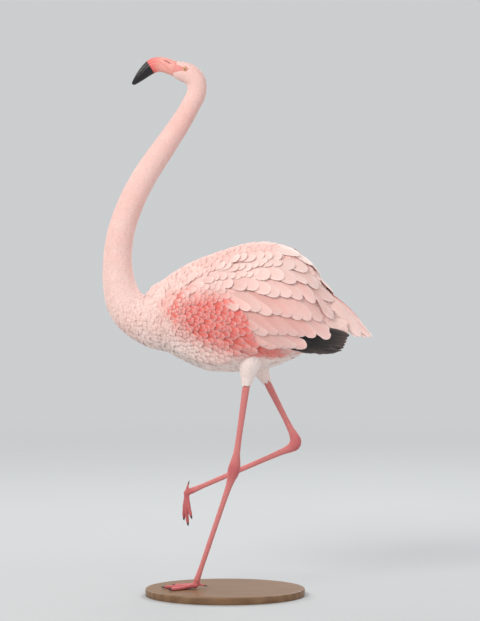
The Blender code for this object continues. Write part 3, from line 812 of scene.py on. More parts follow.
def feather_finish(name, roughness, barbs, paling, relief, edge_colour=PALE_EDGE, sheen=0.35):
    """Plumage whose tint is stored on the mesh, with barbs, a shaft, paler edges and painted shade at the
    root.
    """
    material, tree, shader = new_finish(
        name, roughness, Sheen_Weight=sheen, Sheen_Roughness=0.45, Specular_IOR_Level=0.22
    )
    tint, place = stored(tree, "tint", "Color"), stored(tree, "vane")
    across, along, luck = node(tree, "ShaderNodeSeparateXYZ", {0: place}).outputs[:3]
    off_shaft = maths(tree, "ABSOLUTE", across)
    slant = maths(tree, "MULTIPLY_ADD", off_shaft, -0.22, along)
    lines = maths(tree, "SINE", maths(tree, "MULTIPLY", slant, barbs))
    cloud = noise(tree, 60.0, 3.0)
    edge = maths(tree, "MULTIPLY", maths(tree, "POWER", off_shaft, 3.0), paling)
    tip = maths(tree, "MULTIPLY", maths(tree, "POWER", along, 4.0), paling)
    pale = maths(tree, "ADD", edge, tip)
    pale = maths(tree, "MULTIPLY", pale, maths(tree, "MULTIPLY_ADD", cloud, 1.2, 0.4))
    colour = blend_colour(tree, pale, tint, edge_colour)
    # Painted shade: the colour darkens towards the root, which lies under the next feathers.
    shade = maths(tree, "MULTIPLY_ADD", along, 0.16, 0.86)
    shade = maths(tree, "MULTIPLY_ADD", luck, 0.06, shade)
    # Painted highlight: the barb lines make the colour a little lighter and darker.
    shade = maths(tree, "MULTIPLY_ADD", lines, 0.020, shade)
    grey = node(tree, "ShaderNodeCombineColor", {0: shade, 1: shade, 2: shade}).outputs[0]
    tree.links.new(blend_colour(tree, 1.0, colour, grey, "MULTIPLY"), shader.inputs["Base Color"])
    shaft = maths(tree, "LESS_THAN", off_shaft, 0.06)
    bump(tree, shader, maths(tree, "MULTIPLY_ADD", shaft, 1.5, lines), relief * MM, 0.6)
    return material


down_finish = feather_finish("soft plumage", 0.75, 170.0, 0.12, 0.05)
covert_finish = feather_finish("wing plumage", 0.66, 230.0, 0.30, 0.09)
long_finish = feather_finish("long wing plumage", 0.62, 560.0, 0.26, 0.06)
flight_finish = feather_finish("flight plumage", 0.48, 560.0, 0.45, 0.06, (0.20, 0.15, 0.135, 1), 0.15)

# %% [markdown]
# ## Bare skin
#
# Bare skin is thin and a little light goes through it, so its shader scatters some. Fine pores
# and wrinkles break the highlight. They could be modelled, but they are far smaller than a
# face of the mesh, so they stay in the finish. The tint comes from the mesh.

# %% Skin finish
skin_finish, tree, shader = new_finish("pale skin", 0.5, Subsurface_Weight=0.12, Subsurface_Scale=0.002)
tint, pores = stored(tree, "tint", "Color"), noise(tree, 900.0, 4.0)
wrinkles = node(tree, "ShaderNodeTexVoronoi", {"Scale": 520.0}, feature="DISTANCE_TO_EDGE").outputs[0]
darker = blend_colour(tree, maths(tree, "MULTIPLY", pores, 0.25), tint, (0.55, 0.15, 0.13, 1))
tree.links.new(darker, shader.inputs["Base Color"])
bump(tree, shader, maths(tree, "ADD", pores, wrinkles), 0.0003, 0.5)
dress(skin, skin_finish, "plumage", "trunk", "neck_lower", "neck_middle", "neck_upper", "head")

# %% [markdown]
# ## Head, neck and body feathers
#
# The feathers grow from 4 mm of velvet on the face to 46 mm on the rump. Length, width and
# row spacing all follow one table along the line, so each region passes smoothly into the
# next. Where the folded wing lies on the trunk, its own feathers come later. Body feathers
# that end at the wing's edge tuck their tips under it.

# %% Feather sizes along the line
FEATHERS = np.array([  # place on the line, length, row spacing in mm, width over length
    (0, 46, 15.5, 0.62), (3, 46, 15.0, 0.62), (8, 38, 11.5, 0.60), (11, 29, 8.2, 0.54),
    (13, 21, 5.3, 0.46), (15, 16, 3.9, 0.42), (18, 12.5, 2.85, 0.36), (20, 10.5, 2.30, 0.34),
    (22, 8.0, 1.85, 0.34), (24, 5.6, 1.38, 0.36), (26, 4.0, 1.08, 0.38),
])
feather_length = np.interp(ring_t, FEATHERS[:, 0], FEATHERS[:, 1] * MM)
feather_gap = np.interp(ring_t, FEATHERS[:, 0], FEATHERS[:, 2] * MM)
feather_slim = np.interp(ring_t, FEATHERS[:, 0], FEATHERS[:, 3])

# %% The folded wing's outline
WING = np.array([  # x, top, bottom, as the side view shows them
    (-0.172, 0.775, 0.712), (-0.132, 0.820, 0.660), (-0.070, 0.855, 0.631),
    (-0.010, 0.880, 0.625), (0.060, 0.900, 0.652), (0.130, 0.910, 0.657),
    (0.200, 0.890, 0.652), (0.265, 0.840, 0.648), (0.328, 0.780, 0.645),
])
RUMP = 0.262  # behind this the body's own feathers show again, under the tail
MIDLINE = 0.022  # nearer the middle than this is back or belly, not wing


def inset(points):
    """How far places on a flank lie inside the wing's outline."""
    x, _, z = points.T
    top, bottom = np.interp(x, WING[:, 0], WING[:, 1]), np.interp(x, WING[:, 0], WING[:, 2])
    return np.minimum(np.minimum(top - z, z - bottom), x - WING[0, 0])


def inside_wing(points, margin):
    """Whether places on a flank are inside the wing's outline by this margin."""
    x, y, _ = points.T
    margin = margin * (1 - 0.6 * ease(0.10, 0.20, x))
    return (inset(points) > margin) & (x < RUMP) & (np.abs(y) > MIDLINE)


# %% Laying the body's feathers
ALL_RINGS = np.arange(RINGS)
ROOTED = 0.95  # a root sits this share of the coat's depth below the surface
UNDER_WING = -3.5 * MM  # level of the tips that tuck under the wing


def tips(ring, turn, length):
    """About where feathers of the plumage with these roots end."""
    root = plumage.read(plumage.points, ring, turn)
    return root + lie(root, plumage.read(plumage.along, ring, turn)) * length[:, None]


def body_feathers(first_t, last_t, places, lift, ridge):
    """The plumage between two places on the line."""
    first, last = np.interp([first_t, last_t], ring_t, ALL_RINGS)
    gap_at = lambda place: np.interp(place, ALL_RINGS, feather_gap)
    ring, turn = rows_of_roots(plumage, first, last, gap_at)
    root = plumage.read(plumage.points, ring, turn)
    keep = ~inside_wing(root, 0.022) & (bareness(root) < 0.5)
    ring, turn, root = ring[keep], turn[keep], root[keep]
    length = np.interp(ring, ALL_RINGS, feather_length) * chance.uniform(0.85, 1.15, len(ring))
    width = length * np.interp(ring, ALL_RINGS, feather_slim) * chance.uniform(0.9, 1.1, len(ring))
    depth = np.interp(ring, ALL_RINGS, coat_depth) * ROOTED
    rump = ease(RUMP - 0.012, RUMP + 0.004, root[:, 0])
    aim = lambda points, along: mix(lie(points, along), -unit(along), rump[:, None])
    tip = tips(ring, turn, length)
    tucked = ease(-0.008, 0.002, inset(tip)) * ease(-0.13, -0.08, tip[:, 0]) * (1 - rump)
    high = mix(length * lift * (1 - rump), UNDER_WING, tucked)
    return lay(plumage, ring, turn, length, width, (-depth, high), places, TENT,
               aim=aim, ragged=0.22, ridge=ridge, camber=ridge)


# %% The body's regions
for name, first_t, last_t, places, lift, ridge in (  # lift and ridge are shares of length and width
    ("head", NAPE, BILL_BASE - 0.03, 4, 0.025, 0.07),
    ("neck_upper", 18.5, NAPE, 4, 0.028, 0.08),
    ("neck_middle", 15.0, 18.5, 5, 0.032, 0.09),
    ("neck_lower", NECK_FOOT, 15.0, 7, 0.040, 0.11),
    ("breast", 7.5, NECK_FOOT, 12, 0.045, 0.13),
    ("body", 0.2, 7.5, 14, 0.045, 0.13),
):
    coat_piece(f"feathers_{name}", [body_feathers(first_t, last_t, places, lift, ridge)], down_finish)

# %% [markdown]
# ## Wing coverts, row after row
#
# The coverts begin as small scales at the wrist and end in long, broad feathers over the
# quills. We set them out in slanting rows in the side view, then look up where each root
# lies on the form. Rows round the body would be easier, as on the breast, but on a wing the
# rows run down from the wrist. Their colour comes from the markings.


# %% From the side view onto a flank
def on_flank(x, z, place):
    """Ring and turn of the places on one flank that show at x and z in the side view."""
    ring = np.interp(-x, -line[TRUNK_RINGS, 0], TRUNK_RINGS)
    sweep = np.linspace(0, ROUND / 2, 129)
    turns = ROUND / 4 + (sweep if place == "left" else -sweep)
    heights = plumage.read(plumage.points, ring[:, None] + 0 * turns, turns + 0 * ring[:, None])[..., 2]
    after = np.clip((heights > z[:, None]).sum(1), 1, len(turns) - 1)
    pick = np.arange(len(x))
    above, below = heights[pick, after - 1], heights[pick, after]
    share = np.clip((above - z) / np.maximum(above - below, 1e-6), 0, 1)
    return ring, turns[after - 1] + (turns[after] - turns[after - 1]) * share


# %% Rows of coverts
LONG_EDGE = np.array([  # x, z: the front edge of the long feathers that hang over the wing
    (-0.17, 0.800), (-0.05, 0.858), (0.00, 0.842), (0.03, 0.795), (0.065, 0.735), (0.100, 0.676),
    (0.14, 0.650), (0.30, 0.640),
])
COVERT_SIZES = np.array([(-0.17, 21), (-0.05, 36), (0.03, 52), (0.12, 72), (0.20, 80)])  # x, mm
COVERT_GAP, COVERT_STEP = 0.37, 0.34  # between roots in a row and between rows, in sizes
LAST_ROW = 0.15
WING_EDGE = 0.004  # the first row and the lowest roots keep this far inside the outline


def long_edge(x):
    """The height of the long feathers' front edge."""
    return np.interp(x, *LONG_EDGE.T)


def covert_roots():
    """Places in the side view, and sizes, of the coverts' roots, in rows that lean."""
    xs, zs, sizes = [], [], []
    x_row, row = WING[0, 0] + WING_EDGE, 0
    while x_row < LAST_ROW:
        size = float(np.interp(x_row, *COVERT_SIZES.T)) * MM
        bottom, top = np.interp(x_row, WING[:, 0], WING[:, 2]), np.interp(x_row, WING[:, 0], WING[:, 1])
        top = min(top, float(long_edge(x_row)) + 0.7 * size)
        count = max(2, int((top - bottom) / (size * COVERT_GAP)))
        share = (np.arange(count) + 0.5 * (row % 2) + chance.normal(0, 0.14, count)) / count
        z = bottom + WING_EDGE + (top - bottom - WING_EDGE) * share
        xs.append(x_row + 0.15 * (z - 0.75) + chance.normal(0, 0.07, count) * size)
        zs.append(z)
        sizes.append(np.full(count, size))
        x_row += size * COVERT_STEP
        row += 1
    return map(np.concatenate, (xs, zs, sizes))


# %% Laying the coverts
def wing_coverts(place):
    """Small, middle and great coverts of one wing."""
    x, z, size = covert_roots()
    ring, turn = on_flank(x, z, place)
    length = size * chance.uniform(0.88, 1.12, len(size))
    tip = tips(ring, turn, length)
    keep = tip[:, 2] < long_edge(tip[:, 0]) + 0.010 - 0.005 * ease(0.07, 0.10, tip[:, 0])
    keep &= (tip[:, 0] < 0.07) | (inset(tip) > -0.003)
    ring, turn, length, tip = ring[keep], turn[keep], length[keep], tip[keep]
    red = coral_share(tip)[:, None]
    rosy = mix(ROSY_WHITE, BLUSH, 0.45 * ease(-0.10, 0.06, tip[:, :1]))
    colour = mix(rosy, mix(CORAL, CRIMSON, np.clip(red - 0.86, 0, 1)), red)
    return lay(
        plumage, ring, turn, length, length * chance.uniform(0.46, 0.54, len(ring)),
        (-4.0 * MM, 1.2 * MM + 0.030 * length), 16, VANE, colour, rise=1.0,
        swing=0.09, shape=(0.45, 0.35, 0.60), ridge=0.09, camber=0.14, ragged=0.11,
    )


# %% [markdown]
# ## An under-coat
#
# A bird's coat is many feathers deep, and down fills it below. Ours is only a few feathers
# deep, so skin could show between the large feathers of the wing. Thousands more of them
# would hide it, but a low lining of short, broad feathers does it with few.

# %% Under the wings
WING_LINING_GAP, RUMP_LINING_GAP = 14 * MM, 13 * MM
LINING_SLIM = 0.62  # width over length


def wing_lining():
    """A low under-coat of both wings, so that no skin shows between their other feathers."""
    first, last = np.interp([0.3, 10.5], ring_t, ALL_RINGS)
    ring, turn = rows_of_roots(plumage, first, last, lambda place: WING_LINING_GAP)
    root = plumage.read(plumage.points, ring, turn)
    keep = inside_wing(root, 0.006) & ((root[:, 2] > 0.70) | (root[:, 0] < 0.17))
    ring, turn, root = ring[keep], turn[keep], root[keep]
    x, _, z = root.T
    count = len(ring)
    depth = np.interp(ring, ALL_RINGS, coat_depth) * ROOTED
    under_quills = ease(0.17, 0.20, x) * (1 - ease(0.76, 0.79, z))
    high = mix(-2.0 * MM, -5.0 * MM, under_quills)
    red = coral_share(root) * (z < long_edge(x) + 0.008)
    rosy = mix(ROSY_WHITE, BLUSH, chance.uniform(0.40, 0.62, (count, 1)))
    length = np.interp(x, [-0.15, 0.0], [26, 44]) * MM * chance.uniform(0.9, 1.1, count)
    return lay(plumage, ring, turn, length, length * LINING_SLIM, (-depth, high), 12, TENT,
               mix(rosy, CORAL, red[:, None]))


# %% Over the rump
def rump_lining():
    """Down on the skin itself where the folded wings stand clear of the rump."""
    skin_form = Form(skin_rings[:RINGS])
    first, last = np.interp([0.05, 3.2], ring_t, ALL_RINGS)
    ring, turn = rows_of_roots(skin_form, first, last, lambda place: RUMP_LINING_GAP)
    count = len(ring)
    length = 34 * MM * chance.uniform(0.9, 1.1, count)
    colour = mix(ROSY_WHITE, BLUSH, chance.uniform(0.10, 0.30, (count, 1)))
    return lay(skin_form, ring, turn, length, length * LINING_SLIM, (-0.5 * MM, 3.0 * MM), 12, TENT,
               colour, aim=straight_back)


coat_piece("wing_lining_feathers", [wing_lining(), rump_lining()], covert_finish, "coverts")

# %% [markdown]
# ## Quills and the long feathers over them
#
# Behind the coverts lie the flight feathers. They are black and almost hidden: only their
# tips and lower edges show. Over them hang the long tertials and, from the shoulder, the
# scapulars, rosy feathers with round tips that give a resting flamingo its shaggy back. Their
# tips make the pattern that we see, so each fan is laid out by its tips and walks back.

# %% Fans of long feathers
LONG_FANS = (  # first and last tip, how many, length, width, root and tip level in mm, redness, first size
    ((0.112, 0.684), (0.236, 0.670), 7, 138, 36, -3.0, 3.2, 0.62, 0.60),
    ((0.298, 0.676), (0.284, 0.792), 6, 118, 37, -1.5, 4.8, 0.50, 1.0),
    ((0.086, 0.721), (0.240, 0.704), 7, 120, 34, -2.5, 4.6, 0.66, 0.50),
    ((0.040, 0.786), (0.252, 0.744), 9, 104, 35, -2.5, 5.4, 0.52, 0.55),
    ((0.025, 0.840), (0.234, 0.798), 8, 92, 36, -2.5, 6.0, 0.38, 0.55),
    ((0.120, 0.866), (0.276, 0.822), 6, 100, 40, -3.0, 6.2, 0.30, 0.80),
    ((0.108, 0.900), (0.250, 0.868), 5, 110, 43, -4.0, 6.8, 0.24, 0.75),
    ((0.196, 0.912), (0.224, 0.892), 2, 118, 46, -4.0, 7.6, 0.20, 1.0),
    ((-0.030, 0.858), (0.095, 0.872), 8, 50, 25, -3.0, 4.2, 0.30, 0.70),
    ((0.000, 0.888), (0.125, 0.892), 8, 56, 28, -4.0, 6.0, 0.24, 0.70),
    ((0.040, 0.912), (0.150, 0.914), 6, 64, 32, -4.5, 7.6, 0.20, 0.75),
)

# %% Laying the long feathers
FORM_END = 0.298  # tips start their walk from here at the latest, just inside the form's end


def long_feathers(place):
    """Tertials and scapulars of one side, lowest layer first."""
    batches = []
    for first, last, count, length, width, low, high, warmth, first_size in LONG_FANS:
        x, z = np.linspace(first, last, count).T + chance.normal(0, 0.003, (2, count))
        ring, turn = on_flank(np.minimum(x, FORM_END), z, place)
        colour = mix(ROSY_WHITE, BLUSH, (warmth + chance.normal(0, 0.07, count))[:, None])
        size = np.interp(np.arange(count), [0, 2], [first_size, 1]) * MM
        batches.append(lay(
            plumage, ring, turn, length * size * chance.uniform(0.93, 1.07, count),
            width * np.sqrt(size * MM) * chance.uniform(0.92, 1.08, count),
            (low * MM, high * MM), 26, VANE, colour, rise=1.3, from_tip=True,
            swing=0.05, shape=(0.45, 0.35, 0.70), ridge=0.08, camber=0.14, ragged=0.08,
            roll=0.07 if place == "left" else -0.07,
        ))
    return batches


# %% Quills
QUILL_FANS = (  # first and last root, first and last tip, how many, width, root and tip level in mm
    ((0.150, 0.685), (0.185, 0.735), (0.316, 0.664), (0.333, 0.706), 6, 25, -4.5, 3.4),
    ((0.128, 0.696), (0.155, 0.697), (0.240, 0.660), (0.304, 0.663), 4, 27, -2.4, 2.4),
)
QUILL_TIPS_OUT = 0.050  # how far quill tips are from the bird's middle
BEYOND_TIPS = np.array([0.05, 0, -0.01])  # quills aim past their tips, so they don't bunch there


def quills(place):
    """Black primaries behind the wing and secondaries along its lower edge."""
    batches = []
    for first, last, tip_first, tip_last, count, width, low, high in QUILL_FANS:
        x, z = np.linspace(first, last, count).T
        ring, turn = on_flank(x, z, place)
        tip = np.linspace(tip_first, tip_last, count)
        side = -1.0 if place == "left" else 1.0
        target = np.stack([tip[:, 0], np.full(count, QUILL_TIPS_OUT * side), tip[:, 1]], -1)
        length = np.linalg.norm(target - plumage.read(plumage.points, ring, turn), axis=1) * 1.01
        aim = lambda points, along, target=target + BEYOND_TIPS: target - points
        batches.append(lay(
            plumage, ring, turn, length, np.full(count, width * MM),
            (low * MM, high * MM), 26, VANE, np.tile(SOOT, (count, 1)),
            aim=aim, swing=0.0, shape=(0.5, 0.3, 0.66), ridge=0.12, camber=0.18, ragged=0.06,
        ))
    return batches


# %% Both wings
for place in ("left", "right"):
    wing = f"wing_{place}"
    coverts = [wing_coverts(place)]
    coat_piece(f"{wing}_covert_feathers", coverts, covert_finish, "coverts", [f"{wing}_coverts"])
    coat_piece(f"{wing}_flight_feathers", quills(place), flight_finish, "quills", [f"{wing}_quills"])
    coat_piece(f"{wing}_long_feathers", long_feathers(place), long_finish, "coverts")

# %% [markdown]
# ## The tail
#
# A flamingo's tail is short: broad feathers under the wing tips, in a low roof. Ours has
# fifteen in three layers. They don't follow a form, so a formula gives each its own line from
# the rump to a place on the tail's edge.

# %% Tail feathers
TAIL_ROOT, TAIL_TIP = np.array([0.262, 0.0, 0.810]), np.array([0.398, 0.0, 0.698])
TAIL_ALONG = unit(TAIL_TIP - TAIL_ROOT)
TAIL_UP = unit(np.cross(SIDEWAYS, -TAIL_ALONG))
TAIL_SINK = 0.030  # how far the roots reach in under the rump


def tail_feathers(count, layer, reach, width, places=26):
    """A layer of tail feathers from the rump, spread sideways like a low roof."""
    share = np.linspace(-1, 1, count)
    t = places_along(places)[None, :, None]
    length = (np.linalg.norm(TAIL_TIP - TAIL_ROOT) * reach - 0.030 * share**2 + TAIL_SINK)[:, None, None]
    share = share[:, None, None]
    spread = (0.014 + 0.015 * ease(0, 0.7, t)) * share
    roof = -(0.008 + 0.012 * t) * share**2 + 0.010 * np.sin(np.pi * t) + layer
    centre = TAIL_ROOT + TAIL_ALONG * (length * t - TAIL_SINK)
    centre = centre + SIDEWAYS * spread + TAIL_UP * roof
    heading = unit(np.gradient(centre, axis=1))
    lean = TAIL_UP + SIDEWAYS * share * 1.9
    out = unit(lean - heading * dot(lean, heading))
    tint = mix(ROSY_WHITE, BLUSH, chance.uniform(0.18, 0.42, (count, 1)))
    rings = vanes(centre, out, heading, np.full(count, width), (0.55, 0.3, 0.76), VANE,
                  ragged=0.07, ridge=0.08, camber=0.16)
    root_uv = np.stack([np.full(count, 0.01), (0.25 + share[:, 0, 0] * 0.12) % 1], 1)
    return batch_of(rings, VANE, tint, root_uv)


tail_layers = [
    tail_feathers(6, -0.006, 0.97, 28 * MM),
    tail_feathers(5, 0.0, 1.00, 29 * MM),
    tail_feathers(4, 0.006, 0.80, 29 * MM),
]
coat_piece("tail_feathers", tail_layers, long_finish, solids=["tail"])

# %% [markdown]
# ## Bill
#
# The greater flamingo's bill is pink and bends down in the middle, with a black tip. Its
# deep lower half is a trough and its upper half a thin lid, which is the reverse of most
# birds. A narrow nostril lies in a groove on each side. Both halves follow one line of
# sections, cut apart along the gape. One mesh with a dark line painted on would be simpler,
# but the line where the halves meet is what gives a flamingo its smile.

# %% The bill's sections
BILL = np.array([  # forward, height, half depth, half width, gape
    (0.000, 0.0000, 0.0200, 0.0150, -0.0130), (0.014, 0.0000, 0.0198, 0.0148, -0.0085),
    (0.028, -0.0002, 0.0196, 0.0146, -0.0015), (0.041, -0.0024, 0.0196, 0.0145, 0.0050),
    (0.053, -0.0080, 0.0194, 0.0142, 0.0082), (0.063, -0.0180, 0.0184, 0.0136, 0.0084),
    (0.071, -0.0300, 0.0166, 0.0125, 0.0074), (0.078, -0.0430, 0.0141, 0.0109, 0.0058),
    (0.0845, -0.0560, 0.0108, 0.0088, 0.0042), (0.0898, -0.0674, 0.0072, 0.0062, 0.0024),
    (0.0926, -0.0734, 0.0044, 0.0040, 0.0010), (0.0937, -0.0759, 0.0012, 0.0011, 0.0003),
])
bill_rise = np.cross(SIDEWAYS, bill_ahead)
bill_places = bill_base + np.outer(BILL[:, 0], bill_ahead) + np.outer(BILL[:, 1], bill_rise)
bill_rows = read_rows(np.column_stack([bill_places, BILL[:, 2:]]), np.linspace(0, len(BILL) - 1, 150), 3)
bill_line = bill_rows[:, :3]
bill_run = run_along(bill_line)
print(f"the bill is {bill_run[-1] / MM:.0f} mm along its curve")

# %% One half of the bill
GAPE_GAP = 0.00006  # each half stops this far short of the gape's middle


def bill_half(upper, count=61):
    """Rings of one half: an arc of the oval, closed along the gape with a rounded edge."""
    depth, width, gape = bill_rows[:, 3], bill_rows[:, 4].copy(), bill_rows[:, 5]
    edge = np.arcsin(np.clip((gape + (GAPE_GAP if upper else -GAPE_GAP)) / depth, -0.95, 0.95))
    if upper:
        width *= 1 - 0.10 * ease(0.004, 0.022, bill_run)
        start, sweep = edge, np.pi - 2 * edge
    else:
        start, sweep = np.pi - edge, np.pi + 2 * edge
    share = np.linspace(0, 1, count)[None] * np.ones((len(bill_run), 1))
    angle = start[:, None] + sweep[:, None] * share
    ahead = unit(np.gradient(bill_line, axis=0))
    up = np.cross(SIDEWAYS, ahead)
    run = bill_run[:, None] * np.ones(count)
    nostril = np.zeros(run.shape)
    near_gape = np.minimum(share, 1 - share)
    swell = -0.0010 * (1 - ease(0.0, 0.035, near_gape))  # the rounded cutting edge
    if upper:
        middle = ease(0.008, 0.020, run) * (1 - ease(0.100, 0.125, run))
        groove = np.exp(-(((near_gape - 0.21) / 0.030) ** 2)) * middle
        nostril = np.exp(-(((near_gape - 0.225) / 0.018) ** 2)) * ease(0.012, 0.016, run)
        nostril *= 1 - ease(0.028, 0.034, run)
        swell -= 0.00055 * groove + 0.0022 * nostril
        keel = np.exp(-(((near_gape - 0.5) / 0.10) ** 2)) * middle
        swell += 0.0004 * keel
    else:  # filter ridges along the edge, a keel below and a groove on each side
        ridges = 0.5 + 0.5 * np.sin(run / 0.0011 * 2 * np.pi)
        swell -= 0.0003 * ridges * (near_gape < 0.035) * (1 - ease(0.10, 0.12, run))
        swell += 0.0006 * np.exp(-(((share - 0.5) / 0.14) ** 2)) * ease(0.03, 0.06, run)
        swell -= 0.0005 * np.exp(-(((near_gape - 0.17) / 0.05) ** 2)) * ease(0.02, 0.05, run)
    outward = SIDEWAYS * np.cos(angle)[..., None] + up[:, None] * np.sin(angle)[..., None]
    point = bill_line[:, None] + SIDEWAYS * (width[:, None] * np.cos(angle))[..., None]
    point = point + up[:, None] * (depth[:, None] * np.sin(angle))[..., None]
    return point + outward * (swell * np.clip(depth[:, None] / 0.012, 0, 1))[..., None], run, nostril


# %% [markdown]
# ## Horn of the bill
#
# The bill's horn is rosy and deepens towards the bend, where the black begins at an uneven
# edge. Two materials on two parts of the mesh would meet at a hard line of faces. So one
# finish reads how far along the bill it is, which the mesh stores on its points.

# %% Bill finish
BEND = 0.512  # the black begins at this share of the bill's length
bill_finish, tree, shader = new_finish("bill horn", 0.34, Specular_IOR_Level=0.45, Subsurface_Weight=0.06)
bill_place = stored(tree, "vane")
bill_at, nostril_shade, _ = node(tree, "ShaderNodeSeparateXYZ", {0: bill_place}).outputs[:3]
streaks = node(tree, "ShaderNodeTexNoise", {"Vector": bill_place, "Scale": 9.0, "Detail": 5.0}).outputs["Fac"]
mottle = noise(tree, 160.0, 4.0)
wavy = maths(tree, "MULTIPLY_ADD", mottle, 0.040, bill_at)
black = node(tree, "ShaderNodeMapRange", {0: wavy, 1: BEND, 2: BEND + 0.020}, interpolation_type="SMOOTHSTEP")
rosy = blend_colour(tree, streaks, (0.84, 0.30, 0.26, 1), (0.88, 0.46, 0.39, 1))
ripe = node(tree, "ShaderNodeMapRange", {0: bill_at, 1: 0.28, 2: BEND}).outputs[0]
rosy = blend_colour(tree, ripe, rosy, (0.74, 0.115, 0.105, 1))
# Painted shade: the nostril slit is coloured a dark red-brown, as if in shadow.
rosy = blend_colour(tree, nostril_shade, rosy, (0.16, 0.020, 0.022, 1))
horn = blend_colour(tree, black.outputs[0], rosy, (0.012, 0.010, 0.011, 1))
tree.links.new(horn, shader.inputs["Base Color"])
bump(tree, shader, maths(tree, "MULTIPLY_ADD", mottle, 0.6, streaks), 0.0003, 0.35)

# %% Both halves
for upper, name in ((True, "upper"), (False, "lower")):
    rings, run, nostril = bill_half(upper)
    height = rings[..., 2] - bill_line[:, None, 2]
    # The second fact marks the nostril, which the finish darkens with painted shade.
    facts = np.stack([run / bill_run[-1], nostril, height / 0.02], -1).reshape(-1, 3)
    half = tube_object(f"bill_{name}_horn", rings, None, facts, None, sharp=75)
    dress(half, bill_finish, "bill", f"bill_{name}")

# %% [markdown]
# ## Eyes and lids
#
# The eye of a grown bird is pale yellow with a round black pupil and a dark rim. The ball is
# a sphere whose poles point where the bird looks, so that iris and pupil are simply bands
# of angle from the pole. A flat disc for the pupil would be simpler, but it would stand off
# the round ball. A clear wet coat gives the highlight. Each lid edge is a slim almond ring
# that follows the ball.


# %% Eyeballs
def eyeball(place):
    """A sphere with its pole along the look, carrying the angle from the pole."""
    look, ahead, over = eye_axes(place)
    tilt, turn = np.linspace(0.02, np.pi - 0.02, 48), np.arange(64) * 2 * np.pi / 64
    bulge = 1 + 0.035 * np.exp(-((tilt / 0.55) ** 2))  # the clear front stands a little proud
    ring = ahead * np.cos(turn)[:, None] + over * np.sin(turn)[:, None]
    points = look * np.cos(tilt)[:, None, None] + ring[None] * np.sin(tilt)[:, None, None]
    points = EYES[place] + points * (EYE_RADIUS * 0.985 * bulge)[:, None, None]
    facts = np.stack(np.broadcast_arrays(tilt[:, None] / np.pi, turn / (2 * np.pi), 0.0), -1)
    return tube_object(f"eyeball_{place}", points, None, facts.reshape(-1, 3), None, sharp=180)


# %% Eye finish
eye_finish, tree, shader = new_finish("eye", 0.12, Coat_Weight=1.0, Coat_Roughness=0.03)
from_pole, spoke, _ = node(tree, "ShaderNodeSeparateXYZ", {0: stored(tree, "vane")}).outputs[:3]
bands = node(tree, "ShaderNodeValToRGB", {0: from_pole})
ramp = bands.color_ramp
ramp.elements[0].position, ramp.elements[0].color = 0.0, (0.004, 0.004, 0.004, 1)
ramp.elements[1].position, ramp.elements[1].color = 1.0, (0.02, 0.012, 0.01, 1)
for position, colour in (
    (0.110, (0.004, 0.004, 0.004, 1)), (0.122, (0.62, 0.38, 0.06, 1)), (0.165, (0.84, 0.64, 0.18, 1)),
    (0.235, (0.78, 0.52, 0.12, 1)), (0.262, (0.04, 0.022, 0.015, 1)),
):
    ramp.elements.new(position).color = colour
rays = maths(tree, "SINE", maths(tree, "MULTIPLY", spoke, 380.0))
rays = maths(tree, "MULTIPLY_ADD", rays, 0.06, 0.06)
iris = blend_colour(tree, rays, bands.outputs[0], (0.35, 0.16, 0.02, 1))
tree.links.new(iris, shader.inputs["Base Color"])

# %% Lids
LID_PINK = BARE_PINK * 0.86  # a little deeper than the face


def lid_ring(place, count=96, around=14):
    """A slim ring of skin round the opening, thicker above, resting on the ball."""
    look, ahead, over = eye_axes(place)
    turn = np.arange(count) * 2 * np.pi / count
    pointed = 1 + 0.09 * np.cos(turn) ** 4
    flat = np.stack([np.cos(turn) * LID_OPENING[0] * pointed, np.sin(turn) * LID_OPENING[1]], -1)
    lift = np.sqrt(EYE_RADIUS**2 - (flat**2).sum(1))
    middle = EYES[place] + ahead * flat[:, :1] + over * flat[:, 1:] + look * lift[:, None]
    away = unit(middle - EYES[place])
    travel = unit(np.roll(middle, -1, 0) - np.roll(middle, 1, 0))
    across = np.cross(travel, away)
    angle = np.arange(around) * 2 * np.pi / around
    thick = (0.62 + 0.22 * np.maximum(np.sin(turn), 0)) * MM
    section = away[:, None] * np.cos(angle)[:, None] + across[:, None] * np.sin(angle)[:, None] * 1.35
    return middle[:, None] + section * thick[:, None, None]


# %% Closing a lid ring
def ring_object(name, rings):
    """A tube closed on itself."""
    turns, count = rings.shape[:2]
    i, k = np.meshgrid(np.arange(turns), np.arange(count), indexing="ij")
    j, n = (i + 1) % turns, (k + 1) % count
    quads = np.stack([i * count + k, i * count + n, j * count + n, j * count + k], -1).reshape(-1, 4)
    points = rings.reshape(-1, 3)
    if faces_inwards(points, quads, np.repeat(rings.mean(1), count, 0)[quads[:, 0]]):
        quads = quads[:, ::-1]
    return mesh_object(name, points, quads, tint=np.tile(LID_PINK, (len(points), 1)), sharp=180)


# %% Both eyes
for place in ("left", "right"):
    dress(eyeball(place), eye_finish, "eye", f"eye_{place}")
    dress(ring_object(f"eyelids_{place}", lid_ring(place)), skin_finish, "plumage")

# %% [markdown]
# ## Legs and webbed feet
#
# The long legs are bare from above the hock. Their skin is rosy, redder at the joints and
# toes, with broad plates down the front and small net-like scales elsewhere. We melt the
# leg's solids into one mesh with a fine voxel remesh, which rounds their facets and closes the
# cuts between them, then press the plates' edges into it. Joining them by hand would take far
# fewer faces, but the webs between the toes are no tubes and would need a grid of their own.

# %% Leg measurements
LEGS = {  # hip, hock and toe joint
    "left": np.array([(0.0644, -0.048, 0.6257), (0.0247, -0.032, 0.3435), (-0.0800, -0.012, 0.0305)]),
    "right": np.array([(0.0880, 0.046, 0.6220), (0.1985, 0.052, 0.4022), (-0.1041, 0.054, 0.2706)]),
}
print("tarsus", [round(float(np.linalg.norm(leg[1] - leg[2])), 3) for leg in LEGS.values()], "m long")


# %% Reading a mesh's points
def read_mesh(mesh, what="co"):
    """The places of a mesh's points, or what else it stores of three values each."""
    values = np.empty(len(mesh.vertices) * 3, np.float32)
    mesh.vertices.foreach_get(what, values)
    return values.reshape(-1, 3).astype(float)


